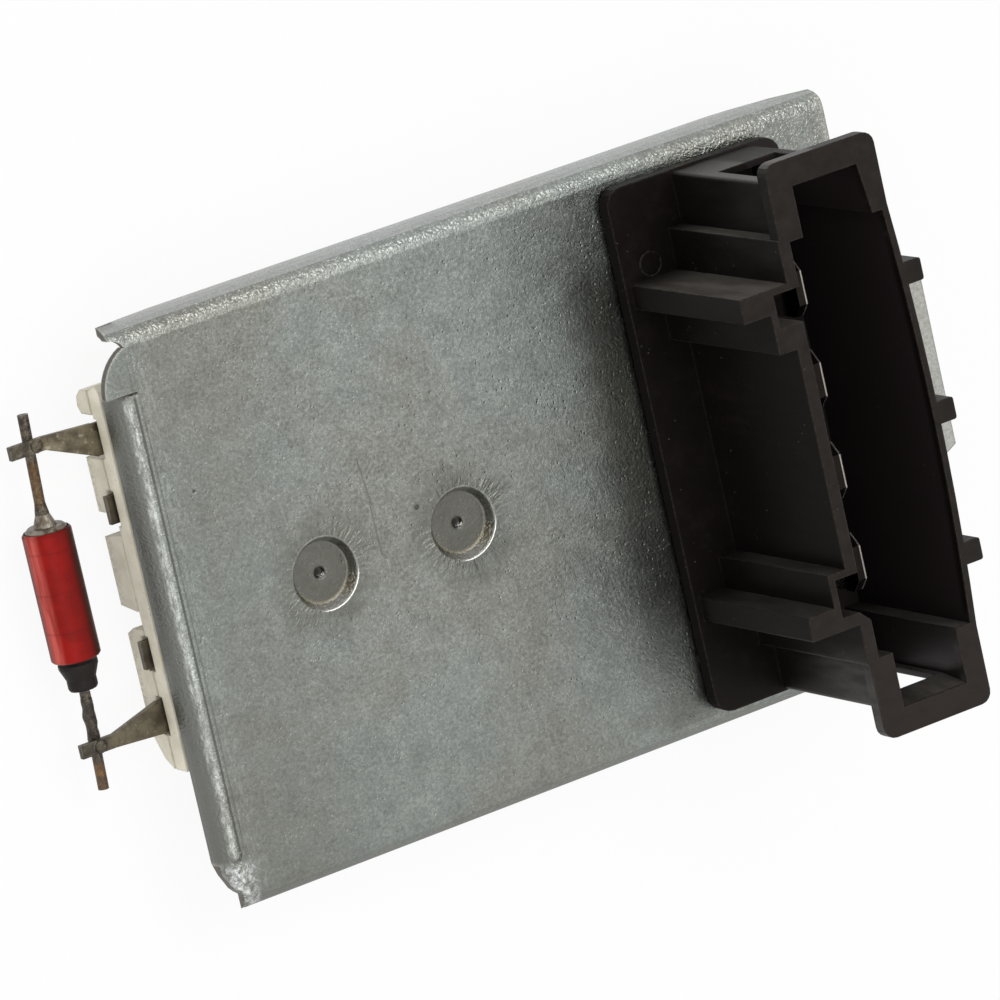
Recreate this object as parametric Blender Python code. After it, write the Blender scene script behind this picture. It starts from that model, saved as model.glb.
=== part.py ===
# Blower motor resistor: folded steel casing, ceramic carrier with resistance coils,
# thermal fuse on two welded arms, and a black moulded four-way connector.
# Frame: +Z up, the flat back of the casing lies on Z = 0, the connector points up.
# X runs from the thermal fuse to the connector. The origin is the bottom centre of the box.
import math

import bmesh
import bpy
from mathutils import Matrix, Vector

MM = 0.001
GAP = 0.3 * MM

# Casing: a front sheet folded on three sides over a shallow rear tray
SHEET_T = 0.7 * MM
CASE_HEIGHT = 8.5 * MM
CASE_LEFT = -34.0 * MM
CASE_RIGHT = 34.05 * MM
CASE_TOP = 24.4 * MM
CASE_BOTTOM = -23.8 * MM
BEND_R = 1.9 * MM
FOLD_DEPTH = 2.2 * MM
END_FOLD_DEPTH = 2.6 * MM
END_FOLD_LOW = -19.75 * MM
FOLD_TAPER_START = 24.5 * MM
CORNER_R = 1.3 * MM
NOTCH_R = 1.33 * MM
NOTCH_Y = 22.0 * MM
NOTCH_X = -33.6 * MM
EAR_R = 4.0 * MM
EAR_CENTRE_X = -30.9 * MM
EAR_LOW = 18.9 * MM
SLIT_W = 0.2 * MM
SLIT_LEAN = 0.3 * MM
TIP_LENGTH = 5.5 * MM
TIP_RISE = 0.6 * MM
TONGUE_LENGTH = 5.75 * MM
TONGUE_WIDTH = 17.0 * MM
TONGUE_CHAMFER = 1.1 * MM
REAR_LEFT = -28.2 * MM
REAR_RIGHT = 33.4 * MM
REAR_INSET_Y = 1.9 * MM
REAR_WALL_HEIGHT = 5.2 * MM
REAR_BEND_R = 1.2 * MM

# Pressed seats in both sheets, with a rivet between each pair
SEAT_X = (-19.7 * MM, -6.7 * MM)
SEAT_R = 2.95 * MM
SEAT_FLOOR_R = 2.5 * MM
SEAT_DEPTH = 0.9 * MM
PIT_R = 0.55 * MM
PIT_DEPTH = 0.4 * MM
RIVET_R = 1.9 * MM

# Ceramic carrier, split along the plane of the conductors
PARTING_Z = 3.6 * MM
CARRIER_LEFT = -27.5 * MM
CARRIER_RIGHT = 31.8 * MM
CARRIER_END_LOW = -12.15 * MM
CARRIER_END_HIGH = 19.6 * MM
CARRIER_END_TOP = 5.5 * MM
END_TOP_BEVEL = 0.5 * MM
KNOB_W = 2.0 * MM
KNOB_H = 2.0 * MM
BLOCK_1_LOW = 8.95 * MM
BLOCK_1_HIGH = 13.45 * MM
BLOCK_2_LOW = 0.9 * MM
BLOCK_2_HIGH = 7.2 * MM
BLOCK_3_HIGH = -0.6 * MM
BLOCK_DRAFT = 0.3 * MM
BLOCK_CORNER = 1.4 * MM
CARRIER_FLOOR = 0.9 * MM
CHAMBER_LEFT = -29.6 * MM
CHAMBER_RIGHT = 24.6 * MM
CHAMBER_HALF_WIDTH = 18.6 * MM

# Resistance coils, wound from round wire, with a straight leg at each end
COIL_R = 1.5 * MM
COIL_LEFT = -22.0 * MM
COIL_RIGHT = 13.0 * MM
COIL_LEG = 4.0 * MM
COILS = {
    "resistor_coil_low": {"y": 15.2 * MM, "wire_r": 0.30 * MM, "turns": 14},
    "resistor_coil_mid": {"y": 7.6 * MM, "wire_r": 0.36 * MM, "turns": 11},
    "resistor_coil_high": {"y": -7.7 * MM, "wire_r": 0.42 * MM, "turns": 8},
}

# Conductors: stamped from flat strip in the parting plane
STRIP_T = 0.5 * MM
STRIP_W = 2.6 * MM
BLADE_W = 4.8 * MM
BLADE_T = 0.8 * MM
BLADE_PITCH = 7.7 * MM
BLADE_TIP_Z = 18.9 * MM
BLADE_CHAMFER = 1.0 * MM
ARM_ROOT_W = 2.7 * MM
ARM_TIP_W = 1.1 * MM
ARM_REACH = -41.7 * MM
UPPER_ARM_Y = 15.2 * MM
UPPER_ARM_TIP_Y = 16.3 * MM
LOWER_ARM_Y = -7.7 * MM
LOWER_ARM_TIP_Y = -8.2 * MM
TAB_REACH = 0.6 * MM
TAB_WIDTH = 2.3 * MM
TAB_HIGH_Y = 9.45 * MM
TAB_LOW_Y = -2.55 * MM

# Thermal fuse, carried by its two leads behind the arms
FUSE_R = 2.0 * MM
SLEEVE_T = 0.25 * MM
FUSE_HIGH = 9.65 * MM
FUSE_LOW = -1.15 * MM
FUSE_X = -39.67 * MM
LEAD_R = 0.44 * MM
LEAD_HIGH = 18.75 * MM
LEAD_LOW = -11.9 * MM
LEAD_LEAN = 2.5
CAP_H = 1.15 * MM
CAP_R = 0.95 * MM
SEAL_H = 2.5 * MM
SEAL_R = 1.2 * MM
WELD_R = 0.6 * MM
WELD_H = 0.35 * MM

# Connector housing: base plate, shroud with keyways and rails, rim flange at both ends
PLATE_LEFT = 11.5 * MM
PLATE_RIGHT = 28.3 * MM
PLATE_HALF = 22.1 * MM
PLATE_T = 1.2 * MM
PLATE_CORNER_R = 1.5 * MM
RIM_Z = 26.2 * MM
RIM_T = 1.3 * MM
RIM_LEFT = 16.75 * MM
RIM_RIGHT = 27.15 * MM
RIM_HALF = 23.85 * MM
RIM_SHIFT = -0.15 * MM
RIM_CORNER_R = 1.0 * MM
RIM_LEG = 17.25 * MM
WALL_T = 1.05 * MM
THIN_WALL_T = 0.55 * MM
BOW = 0.7 * MM
END_WALL_X = 17.9 * MM
END_WALL_RIGHT = 26.2 * MM
END_CORNER_R = 0.9 * MM
END_SHARP_R = 0.3 * MM
SHROUD_HALF = 21.9 * MM
MOUTH_HIGH = 21.45 * MM
MOUTH_LOW = -21.85 * MM
SHOULDER_WALL_X = 16.6 * MM
MIDDLE_WALL_X = 16.3 * MM
SHOULDER_Y = 17.6 * MM
KEYWAY_WALL_X = 14.6 * MM
KEYWAY_HIGH = (8.85 * MM, 14.15 * MM)
KEYWAY_LOW = (-14.15 * MM, -9.45 * MM)
KEYWAY_BLOCK = 2.0 * MM
KEYWAY_CORNER = 0.9 * MM
RAIL_X = 12.05 * MM
RAIL_T = 2.0 * MM
LUG_REACH = 1.55 * MM
LUG_CORNER_R = 0.2 * MM
LUG_W = 1.85 * MM
LUG_PITCH = 11.7 * MM
WINDOW_LEFT = 19.05 * MM
WINDOW_RIGHT = 24.6 * MM
WINDOW_LOW = 15.3 * MM
WINDOW_HIGH = 22.8 * MM
BLADE_X = 22.1 * MM
PEG_R = 1.4 * MM
PEG_HEAD_R = 2.1 * MM
PEG_CLEARANCE = 4.25 * MM

FACE_UNDER = CASE_HEIGHT - SHEET_T
PLATE_LOW = CASE_HEIGHT + GAP
PLATE_TOP = PLATE_LOW + PLATE_T
CARRIER_TOP = FACE_UNDER - GAP
STRIP_LOW = PARTING_Z - STRIP_T / 2
STRIP_HIGH = PARTING_Z + STRIP_T / 2
BLADE_Y = tuple((row - 1.5) * BLADE_PITCH for row in range(4))
PEG_Y = 1.5 * BLADE_PITCH + BLADE_W / 2 + PEG_CLEARANCE
REACH_LEFT = ARM_REACH
REACH_RIGHT = CASE_RIGHT + TONGUE_LENGTH


def clear_scene():
    for old in list(bpy.data.objects):
        bpy.data.objects.remove(old, do_unlink=True)


def material(name, colour, roughness, metallic):
    made = bpy.data.materials.new(name)
    made.use_nodes = True
    shader = made.node_tree.nodes["Principled BSDF"]
    shader.inputs["Base Color"].default_value = (*colour, 1.0)
    shader.inputs["Roughness"].default_value = roughness
    shader.inputs["Metallic"].default_value = metallic
    made.diffuse_color = (*colour, 1.0)
    return made


def add_mesh(name, shape, finish=None):
    mesh = bpy.data.meshes.new(name)
    shape.to_mesh(mesh)
    shape.free()
    piece = bpy.data.objects.new(name, mesh)
    bpy.context.collection.objects.link(piece)
    if finish:
        mesh.materials.append(finish)
    return piece


def arc(centre, radius, start, end, steps):
    """Points of an arc, angles in degrees."""
    points = []
    for step in range(steps + 1):
        angle = math.radians(start + (end - start) * step / steps)
        points.append((centre[0] + radius * math.cos(angle), centre[1] + radius * math.sin(angle)))
    return points


def rectangle(low_a, high_a, low_b, high_b):
    return [(low_a, low_b), (high_a, low_b), (high_a, high_b), (low_a, high_b)]


def rounded_rectangle(low_a, high_a, low_b, high_b, radius, steps=4):
    corners = (
        ((low_a + radius, low_b + radius), 180),
        ((high_a - radius, low_b + radius), 270),
        ((high_a - radius, high_b - radius), 0),
        ((low_a + radius, high_b - radius), 90),
    )
    points = []
    for centre, start in corners:
        points += arc(centre, radius, start, start + 90, steps)
    return points


def circle(centre, radius, steps=24):
    return arc(centre, radius, 0, 360 - 360 / steps, steps - 1)


AXES = {
    "X": lambda a, b, depth: Vector((depth, a, b)),
    "Y": lambda a, b, depth: Vector((a, depth, b)),
    "Z": lambda a, b, depth: Vector((a, b, depth)),
}


def extrude(name, outline, axis, low, high, finish=None):
    """A prism: the outline lies across the axis and runs from low to high along it."""
    shape = bmesh.new()
    place = AXES[axis]
    base = shape.faces.new([shape.verts.new(place(a, b, low)) for a, b in outline])
    grown = bmesh.ops.extrude_face_region(shape, geom=[base])
    moved = [item for item in grown["geom"] if isinstance(item, bmesh.types.BMVert)]
    bmesh.ops.translate(shape, verts=moved, vec=place(0, 0, high) - place(0, 0, low))
    bmesh.ops.recalc_face_normals(shape, faces=shape.faces)
    return add_mesh(name, shape, finish)


def turn(name, profile, finish=None, steps=24):
    """A turned piece about Z; the profile is (radius, height) from its first to its last end."""
    shape = bmesh.new()
    path = [(0, profile[0][1])] + list(profile) + [(0, profile[-1][1])]
    points = [shape.verts.new((radius, 0, height)) for radius, height in path]
    edges = [shape.edges.new(pair) for pair in zip(points, points[1:])]
    bmesh.ops.spin(
        shape, geom=points + edges, cent=(0, 0, 0), axis=(0, 0, 1),
        angle=math.tau, steps=steps, use_merge=True,
    )
    bmesh.ops.remove_doubles(shape, verts=shape.verts, dist=0.001 * MM)
    bmesh.ops.recalc_face_normals(shape, faces=shape.faces)
    return add_mesh(name, shape, finish)


def box(name, low, high):
    return extrude(name, rectangle(low[0], high[0], low[1], high[1]), "Z", low[2], high[2])


def combine(piece, other, operation):
    """Keeps the second shape as a hidden guide and combines it by a Boolean modifier."""
    other.hide_render = True
    other.display_type = "WIRE"
    step = piece.modifiers.new(operation.title() + " " + other.name, "BOOLEAN")
    step.operation = operation
    step.solver = "EXACT"
    step.object = other
    return piece


def cut(piece, other):
    return combine(piece, other, "DIFFERENCE")


def join(piece, other):
    return combine(piece, other, "UNION")


def smooth_rounds(piece, degrees=35):
    piece.data.shade_smooth()
    piece.data.set_sharp_from_angle(angle=math.radians(degrees))


def folded_channel(name, finish):
    """The sheet across its long folds: a flat face with both long edges bent down."""
    top = (CASE_TOP - BEND_R, CASE_HEIGHT - BEND_R)
    low = (CASE_BOTTOM + BEND_R, CASE_HEIGHT - BEND_R)
    foot = CASE_HEIGHT - FOLD_DEPTH
    outside = arc(top, BEND_R, 0, 90, 6) + arc(low, BEND_R, 90, 180, 6)
    inside = arc(low, BEND_R - SHEET_T, 180, 90, 6) + arc(top, BEND_R - SHEET_T, 90, 0, 6)
    profile = (
        [(CASE_TOP, foot)] + outside + [(CASE_BOTTOM, foot), (CASE_BOTTOM + SHEET_T, foot)]
        + inside + [(CASE_TOP - SHEET_T, foot)]
    )
    return extrude(name, profile, "X", EAR_CENTRE_X - EAR_R - MM, CASE_RIGHT, finish)


def end_fold():
    """The short fold over the end of the carrier."""
    bend = (CASE_LEFT + BEND_R, CASE_HEIGHT - BEND_R)
    foot = CASE_HEIGHT - END_FOLD_DEPTH
    outside = arc(bend, BEND_R, 90, 180, 6)
    inside = arc(bend, BEND_R - SHEET_T, 180, 90, 6)
    lap = bend[0] + 2 * SHEET_T
    profile = (
        [(lap, CASE_HEIGHT)] + outside + [(CASE_LEFT, foot), (CASE_LEFT + SHEET_T, foot)]
        + inside + [(lap, FACE_UNDER)]
    )
    fold = extrude("end fold", profile, "Y", CASE_BOTTOM, EAR_LOW - SLIT_W)
    centre = (CASE_BOTTOM + BEND_R, CASE_HEIGHT - BEND_R)
    beyond_bend = arc(centre, BEND_R, 90, 180, 6) + [
        (CASE_BOTTOM, 0), (CASE_BOTTOM - MM, 0), (CASE_BOTTOM - MM, CASE_HEIGHT + MM),
        (centre[0], CASE_HEIGHT + MM),
    ]
    return cut(fold, extrude("beyond the long bend", beyond_bend, "X", CASE_LEFT - MM, lap + MM))


def build_front_casing(finish):
    casing = folded_channel("front_casing", finish)
    bend_start = CASE_LEFT + BEND_R
    foot = CASE_HEIGHT - END_FOLD_DEPTH
    clear_x = CASE_LEFT - 2 * EAR_R
    left_outline = (
        [(clear_x, CASE_TOP + MM), (NOTCH_X, CASE_TOP + MM)]
        + arc((NOTCH_X, NOTCH_Y), NOTCH_R, 90, 20, 7)
        + arc((EAR_CENTRE_X, EAR_LOW), EAR_R, 114, 180, 8)
        + [(bend_start, EAR_LOW), (bend_start, CASE_BOTTOM + BEND_R)]
        + [(bend_start - 0.4 * BEND_R, CASE_BOTTOM - MM), (clear_x, CASE_BOTTOM - MM)]
    )
    cut(casing, extrude("left outline", left_outline, "Z", 0, CASE_HEIGHT + MM))
    join(casing, end_fold())
    corner_x = CASE_LEFT + 0.5 * BEND_R
    bottom_corner = [
        (CASE_LEFT - MM, END_FOLD_LOW), (CASE_LEFT, END_FOLD_LOW),
        (CASE_LEFT + 0.05 * BEND_R, END_FOLD_LOW - 0.5 * BEND_R),
        (CASE_LEFT + 0.25 * BEND_R, END_FOLD_LOW - 1.1 * BEND_R), (corner_x, END_FOLD_LOW - 1.4 * BEND_R),
        (corner_x, CASE_BOTTOM - MM), (CASE_LEFT - MM, CASE_BOTTOM - MM),
    ]
    cut(casing, extrude("bottom corner", bottom_corner, "Z", 0, CASE_HEIGHT + MM))
    corner_foot = [
        (END_FOLD_LOW, 0), (END_FOLD_LOW, foot), (END_FOLD_LOW - 0.6 * BEND_R, foot + 0.3 * BEND_R),
        (END_FOLD_LOW - 1.2 * BEND_R, foot + 0.55 * BEND_R), (END_FOLD_LOW - 1.4 * BEND_R, foot + 0.55 * BEND_R),
        (END_FOLD_LOW - 1.4 * BEND_R, 0),
    ]
    cut(casing, extrude("corner foot", corner_foot, "X", CASE_LEFT - MM, bend_start + 0.2 * MM))
    blunt_tip = [
        (CASE_LEFT - MM, 0), (CASE_LEFT - MM, foot + 0.8 * BEND_R), (corner_x, foot + 0.5 * BEND_R),
        (corner_x + 0.5 * BEND_R, CASE_HEIGHT - FOLD_DEPTH), (corner_x + 0.5 * BEND_R, 0),
    ]
    cut(casing, extrude("blunt tip", blunt_tip, "Y", CASE_BOTTOM - MM, CASE_BOTTOM + BEND_R))
    slit = [
        (EAR_LOW, CASE_HEIGHT + MM), (EAR_LOW - SLIT_W, CASE_HEIGHT), (EAR_LOW - SLIT_W - SLIT_LEAN, foot),
        (EAR_LOW - SLIT_W - SLIT_LEAN, 0), (EAR_LOW, 0),
    ]
    cut(casing, extrude("slanted slit", slit, "X", CASE_LEFT - MM, bend_start))
    tip = [
        (CASE_LEFT - EAR_R, 0), (CASE_LEFT - EAR_R, CASE_HEIGHT - FOLD_DEPTH + TIP_RISE),
        (CASE_LEFT, CASE_HEIGHT - FOLD_DEPTH + TIP_RISE),
        (CASE_LEFT + TIP_LENGTH, CASE_HEIGHT - FOLD_DEPTH), (CASE_LEFT + TIP_LENGTH, 0),
    ]
    cut(casing, extrude("fold tip", tip, "Y", CASE_TOP - SHEET_T - 0.2 * MM, CASE_TOP + MM))
    half = TONGUE_WIDTH / 2
    tongue_end = CASE_RIGHT + TONGUE_LENGTH
    tongue = [
        (CASE_RIGHT - MM, -half), (tongue_end - TONGUE_CHAMFER, -half),
        (tongue_end, -half + TONGUE_CHAMFER / 2), (tongue_end, half - TONGUE_CHAMFER / 2),
        (tongue_end - TONGUE_CHAMFER, half), (CASE_RIGHT - MM, half),
    ]
    join(casing, extrude("locating tongue", tongue, "Z", FACE_UNDER, CASE_HEIGHT))
    run_out = [
        (FOLD_TAPER_START, 0), (FOLD_TAPER_START, CASE_HEIGHT - FOLD_DEPTH),
        (CASE_RIGHT + MM, FACE_UNDER), (CASE_RIGHT + MM, 0),
    ]
    for name, low, high in (
        ("top fold run-out", CASE_TOP - BEND_R, CASE_TOP + MM),
        ("bottom fold run-out", CASE_BOTTOM - MM, CASE_BOTTOM + BEND_R),
    ):
        cut(casing, extrude(name, run_out, "Y", low, high))
    for name, edge, side in (("top corner", CASE_TOP, 1), ("low corner", CASE_BOTTOM, -1)):
        centre = (CASE_RIGHT - CORNER_R, edge - side * CORNER_R)
        rounding = arc(centre, CORNER_R, side * 90, 0, 8) + [
            (CASE_RIGHT + MM, centre[1]), (CASE_RIGHT + MM, edge + side * MM), (centre[0], edge + side * MM),
        ]
        cut(casing, extrude(name, rounding, "Z", 0, CASE_HEIGHT + MM))
    seats(casing, CASE_HEIGHT, -1)
    blade_slot = rounded_rectangle(
        BLADE_X - 2.2 * BLADE_T, BLADE_X + 2.2 * BLADE_T,
        BLADE_Y[0] - BLADE_W / 2 - MM, BLADE_Y[-1] + BLADE_W / 2 + MM, 0.8 * MM,
    )
    cut(casing, extrude("blade slot", blade_slot, "Z", foot, CASE_HEIGHT + MM))
    for side in (-1, 1):
        hole = circle((BLADE_X, side * PEG_Y), PEG_R + GAP)
        cut(casing, extrude("peg hole", hole, "Z", foot, CASE_HEIGHT + MM))
    return casing


def seats(sheet, surface, inward):
    """Round seats pressed into a sheet; inward is the direction of the punch along Z."""
    for seat_x in SEAT_X:
        swell = turn("seat swell", [
            (SEAT_FLOOR_R + SHEET_T, SHEET_T + SEAT_DEPTH), (SEAT_R + 0.8 * SHEET_T, 0.7 * SHEET_T),
        ])
        pocket = turn("seat pocket", [
            (SEAT_R + 0.2 * SHEET_T, -0.4 * SHEET_T), (SEAT_FLOOR_R, SEAT_DEPTH), (PIT_R, SEAT_DEPTH),
            (0.5 * PIT_R, SEAT_DEPTH + PIT_DEPTH),
        ])
        for shape in (swell, pocket):
            shape.location = (seat_x, 0, surface)
            if inward < 0:
                shape.rotation_euler = (math.pi, 0, 0)
        join(sheet, swell)
        cut(sheet, pocket)


def build_rear_casing(finish):
    top = CASE_TOP - REAR_INSET_Y
    bottom = CASE_BOTTOM + REAR_INSET_Y
    left_bend = (bottom + REAR_BEND_R, REAR_BEND_R)
    right_bend = (top - REAR_BEND_R, REAR_BEND_R)
    inner_r = REAR_BEND_R - SHEET_T
    profile = (
        [(bottom, REAR_WALL_HEIGHT)] + arc(left_bend, REAR_BEND_R, 180, 270, 4)
        + arc(right_bend, REAR_BEND_R, 270, 360, 4)
        + [(top, REAR_WALL_HEIGHT), (top - SHEET_T, REAR_WALL_HEIGHT)]
        + arc(right_bend, inner_r, 360, 270, 4) + arc(left_bend, inner_r, 270, 180, 4)
        + [(bottom + SHEET_T, REAR_WALL_HEIGHT)]
    )
    tray = extrude("rear_casing", profile, "X", REAR_LEFT, REAR_RIGHT, finish)
    join(tray, box(
        "rear end wall", (REAR_RIGHT - SHEET_T, bottom + REAR_BEND_R, SHEET_T / 2),
        (REAR_RIGHT, top - REAR_BEND_R, REAR_WALL_HEIGHT),
    ))
    seats(tray, 0, 1)
    return tray


def carrier_bounds():
    top = CASE_TOP - REAR_INSET_Y - SHEET_T - GAP
    bottom = CASE_BOTTOM + REAR_INSET_Y + SHEET_T + GAP
    return bottom, top


def carrier_cuts(half, name):
    """Openings that both halves share: conductor chamber, coil channels, rivet and blade holes."""
    cut(half, box(
        name + " chamber", (CHAMBER_LEFT, -CHAMBER_HALF_WIDTH, STRIP_LOW - GAP),
        (CHAMBER_RIGHT, CHAMBER_HALF_WIDTH, STRIP_HIGH + GAP),
    ))
    for coil_name, coil in COILS.items():
        radius = COIL_R + coil["wire_r"] + GAP
        height = coil_height(coil)
        cut(half, extrude(
            name + " channel " + coil_name, circle((coil["y"], height), radius, 20), "X",
            COIL_LEFT - coil["wire_r"] - GAP, COIL_RIGHT + coil["wire_r"] + GAP,
        ))
        side = coil["wire_r"] + GAP
        cut(half, box(
            name + " leg channel " + coil_name, (COIL_LEFT - COIL_LEG - GAP, coil["y"] - side, PARTING_Z - GAP),
            (COIL_RIGHT + COIL_LEG + GAP, coil["y"] + side, height + side),
        ))
    for seat_x in SEAT_X:
        hole = circle((seat_x, 0), SEAT_R + SHEET_T + 2 * GAP)
        cut(half, extrude(name + " rivet hole", hole, "Z", -MM, CASE_HEIGHT))
    side = STRIP_W / 2 + GAP
    for arm_y in (UPPER_ARM_Y, LOWER_ARM_Y):
        cut(half, box(
            name + " arm slot", (CASE_LEFT - MM, arm_y - side, STRIP_LOW - GAP),
            (CHAMBER_LEFT + MM, arm_y + side, STRIP_HIGH + GAP),
        ))
    for tab_y in (TAB_HIGH_Y, TAB_LOW_Y):
        reach = TAB_WIDTH / 2 + GAP
        cut(half, box(
            name + " tab slot", (CASE_LEFT - MM, tab_y - reach, STRIP_LOW - GAP),
            (CHAMBER_LEFT + MM, tab_y + reach, STRIP_HIGH + GAP),
        ))


def build_carrier_front(finish):
    bottom, top = carrier_bounds()
    low = PARTING_Z + GAP / 2
    half = extrude(
        "carrier_front", rounded_rectangle(CARRIER_LEFT, CARRIER_RIGHT, bottom, top, 1.5 * MM),
        "Z", low, CARRIER_TOP, finish,
    )
    end = [
        (CARRIER_END_LOW, low), (CARRIER_END_LOW, CARRIER_END_TOP),
        (CARRIER_END_HIGH - END_TOP_BEVEL, CARRIER_END_TOP),
        (CARRIER_END_HIGH, CARRIER_END_TOP - END_TOP_BEVEL), (CARRIER_END_HIGH - END_TOP_BEVEL, low),
    ]
    join(half, extrude("carrier front end", end, "X", CASE_LEFT, CARRIER_LEFT + 2 * MM))
    carrier_cuts(half, "front")
    for blade_y in BLADE_Y:
        cut(half, box(
            "front blade slot", (BLADE_X - BLADE_T / 2 - GAP, blade_y - BLADE_W / 2 - GAP, 0),
            (BLADE_X + BLADE_T / 2 + GAP, blade_y + BLADE_W / 2 + GAP, CASE_HEIGHT),
        ))
    for side in (-1, 1):
        recess = circle((BLADE_X, side * PEG_Y), PEG_HEAD_R + GAP)
        cut(half, extrude("peg recess", recess, "Z", peg_foot() - GAP, CASE_HEIGHT))
    return half


def build_carrier_rear(finish):
    bottom, top = carrier_bounds()
    high = PARTING_Z - GAP / 2
    floor = SHEET_T + GAP
    half = extrude(
        "carrier_rear", rounded_rectangle(CARRIER_LEFT, CARRIER_RIGHT, bottom, top, 1.5 * MM),
        "Z", floor, high, finish,
    )
    knob_high = CARRIER_END_HIGH - END_TOP_BEVEL
    knob_low = knob_high - KNOB_W
    knob = [
        (knob_low, high), (knob_low, high - 0.8 * KNOB_H), (knob_low + 0.3 * KNOB_W, high - KNOB_H),
        (knob_high - 0.3 * KNOB_W, high - 0.9 * KNOB_H), (knob_high, high - 0.5 * KNOB_H), (knob_high, high),
    ]
    first = rectangle(BLOCK_1_LOW, BLOCK_1_HIGH, CARRIER_FLOOR, high)
    second = [
        (BLOCK_2_LOW + BLOCK_DRAFT, CARRIER_FLOOR), (BLOCK_2_HIGH - BLOCK_DRAFT, CARRIER_FLOOR),
        (BLOCK_2_HIGH, high), (BLOCK_2_LOW, high),
    ]
    third = [
        (CARRIER_END_LOW + 2 * BLOCK_CORNER, CARRIER_FLOOR), (BLOCK_3_HIGH - 0.4 * BLOCK_CORNER, CARRIER_FLOOR),
        (BLOCK_3_HIGH, CARRIER_FLOOR + 0.8 * BLOCK_CORNER), (BLOCK_3_HIGH, high),
        (CARRIER_END_LOW, high), (CARRIER_END_LOW + 0.5 * BLOCK_CORNER, CARRIER_FLOOR + BLOCK_CORNER),
    ]
    for name, outline in (("knob", knob), ("first", first), ("second", second), ("third", third)):
        join(half, extrude("carrier " + name + " block", outline, "X", CASE_LEFT, CARRIER_LEFT + 2 * MM))
    carrier_cuts(half, "rear")
    for blade_y in BLADE_Y:
        cut(half, box(
            "rear blade seat", (BLADE_X - BLADE_T / 2 - GAP, blade_y - BLADE_W / 2 - GAP, blade_foot() - GAP),
            (BLADE_X + BLADE_T / 2 + GAP, blade_y + BLADE_W / 2 + GAP, CASE_HEIGHT),
        ))
    return half


def peg_foot():
    return CARRIER_TOP - 1.2 * MM


def blade_foot():
    return STRIP_LOW - 0.8 * MM


def coil_height(coil):
    """The legs of a coil rest on the strips."""
    return STRIP_HIGH + GAP + coil["wire_r"]


def coil_points(coil):
    """A helix along X whose ends run in to the axis and out as straight legs."""
    turns = coil["turns"]
    per_turn = 12
    steps = turns * per_turn
    points = [Vector((COIL_LEFT - COIL_LEG, 0, 0)), Vector((COIL_LEFT - 0.6 * MM, 0, 0))]
    for step in range(steps + 1):
        angle = math.tau * step / per_turn
        ease = min(1.0, step / 3, (steps - step) / 3)
        radius = COIL_R * ease
        along = COIL_LEFT + (COIL_RIGHT - COIL_LEFT) * step / steps
        points.append(Vector((along, radius * math.cos(angle), radius * math.sin(angle))))
    points += [Vector((COIL_RIGHT + 0.6 * MM, 0, 0)), Vector((COIL_RIGHT + COIL_LEG, 0, 0))]
    return points


def tube(name, points, radius, finish, sides=2):
    path = bpy.data.curves.new(name, "CURVE")
    path.dimensions = "3D"
    path.bevel_depth = radius
    path.bevel_resolution = sides
    path.use_fill_caps = True
    spline = path.splines.new("POLY")
    spline.points.add(len(points) - 1)
    for point, place in zip(spline.points, points):
        point.co = (*place, 1.0)
    path.materials.append(finish)
    piece = bpy.data.objects.new(name, path)
    bpy.context.collection.objects.link(piece)
    return piece


def build_coils(finish):
    made = []
    for name, coil in COILS.items():
        piece = tube(name, coil_points(coil), coil["wire_r"], finish, sides=1)
        piece.location = (0, coil["y"], coil_height(coil))
        made.append(piece)
    return made


def build_terminals(finish):
    """Each terminal is one stamping: an upright blade and a foot that runs to its coil."""
    coil_rows = [coil["y"] for coil in COILS.values()]
    runs = {
        "terminal_1": (BLADE_Y[3], coil_rows[0]),
        "terminal_2": (BLADE_Y[2], coil_rows[1]),
        "terminal_3": (BLADE_Y[1], None),
        "terminal_4": (BLADE_Y[0], coil_rows[2]),
    }
    made = []
    for name, (blade_y, coil_y) in runs.items():
        half = BLADE_W / 2
        outline = [
            (blade_y - half, blade_foot()), (blade_y + half, blade_foot()),
            (blade_y + half, BLADE_TIP_Z - BLADE_CHAMFER), (blade_y + half - BLADE_CHAMFER, BLADE_TIP_Z),
            (blade_y - half + BLADE_CHAMFER, BLADE_TIP_Z), (blade_y - half, BLADE_TIP_Z - BLADE_CHAMFER),
        ]
        blade = extrude(name, outline, "X", BLADE_X - BLADE_T / 2, BLADE_X + BLADE_T / 2, finish)
        end_x = COIL_RIGHT + COIL_LEG - STRIP_W
        target = coil_y if coil_y is not None else blade_y
        foot = [
            (BLADE_X, blade_y - STRIP_W / 2), (BLADE_X, blade_y + STRIP_W / 2),
            (BLADE_X - STRIP_W, blade_y + STRIP_W / 2), (end_x + STRIP_W / 2, target + STRIP_W / 2),
            (end_x, target + STRIP_W / 2), (end_x, target - STRIP_W / 2),
            (end_x + STRIP_W / 2, target - STRIP_W / 2), (BLADE_X - STRIP_W, blade_y - STRIP_W / 2),
        ]
        join(blade, extrude(name + " foot", foot, "Z", STRIP_LOW, STRIP_HIGH))
        made.append(blade)
    return made


def lead_x(y):
    """Where a lead runs at this height: straight at the fuse, leaning outside it."""
    slope = math.tan(math.radians(LEAD_LEAN))
    if y > FUSE_HIGH:
        return FUSE_X + slope * (y - FUSE_HIGH)
    return FUSE_X + slope * (y - FUSE_LOW)


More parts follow.
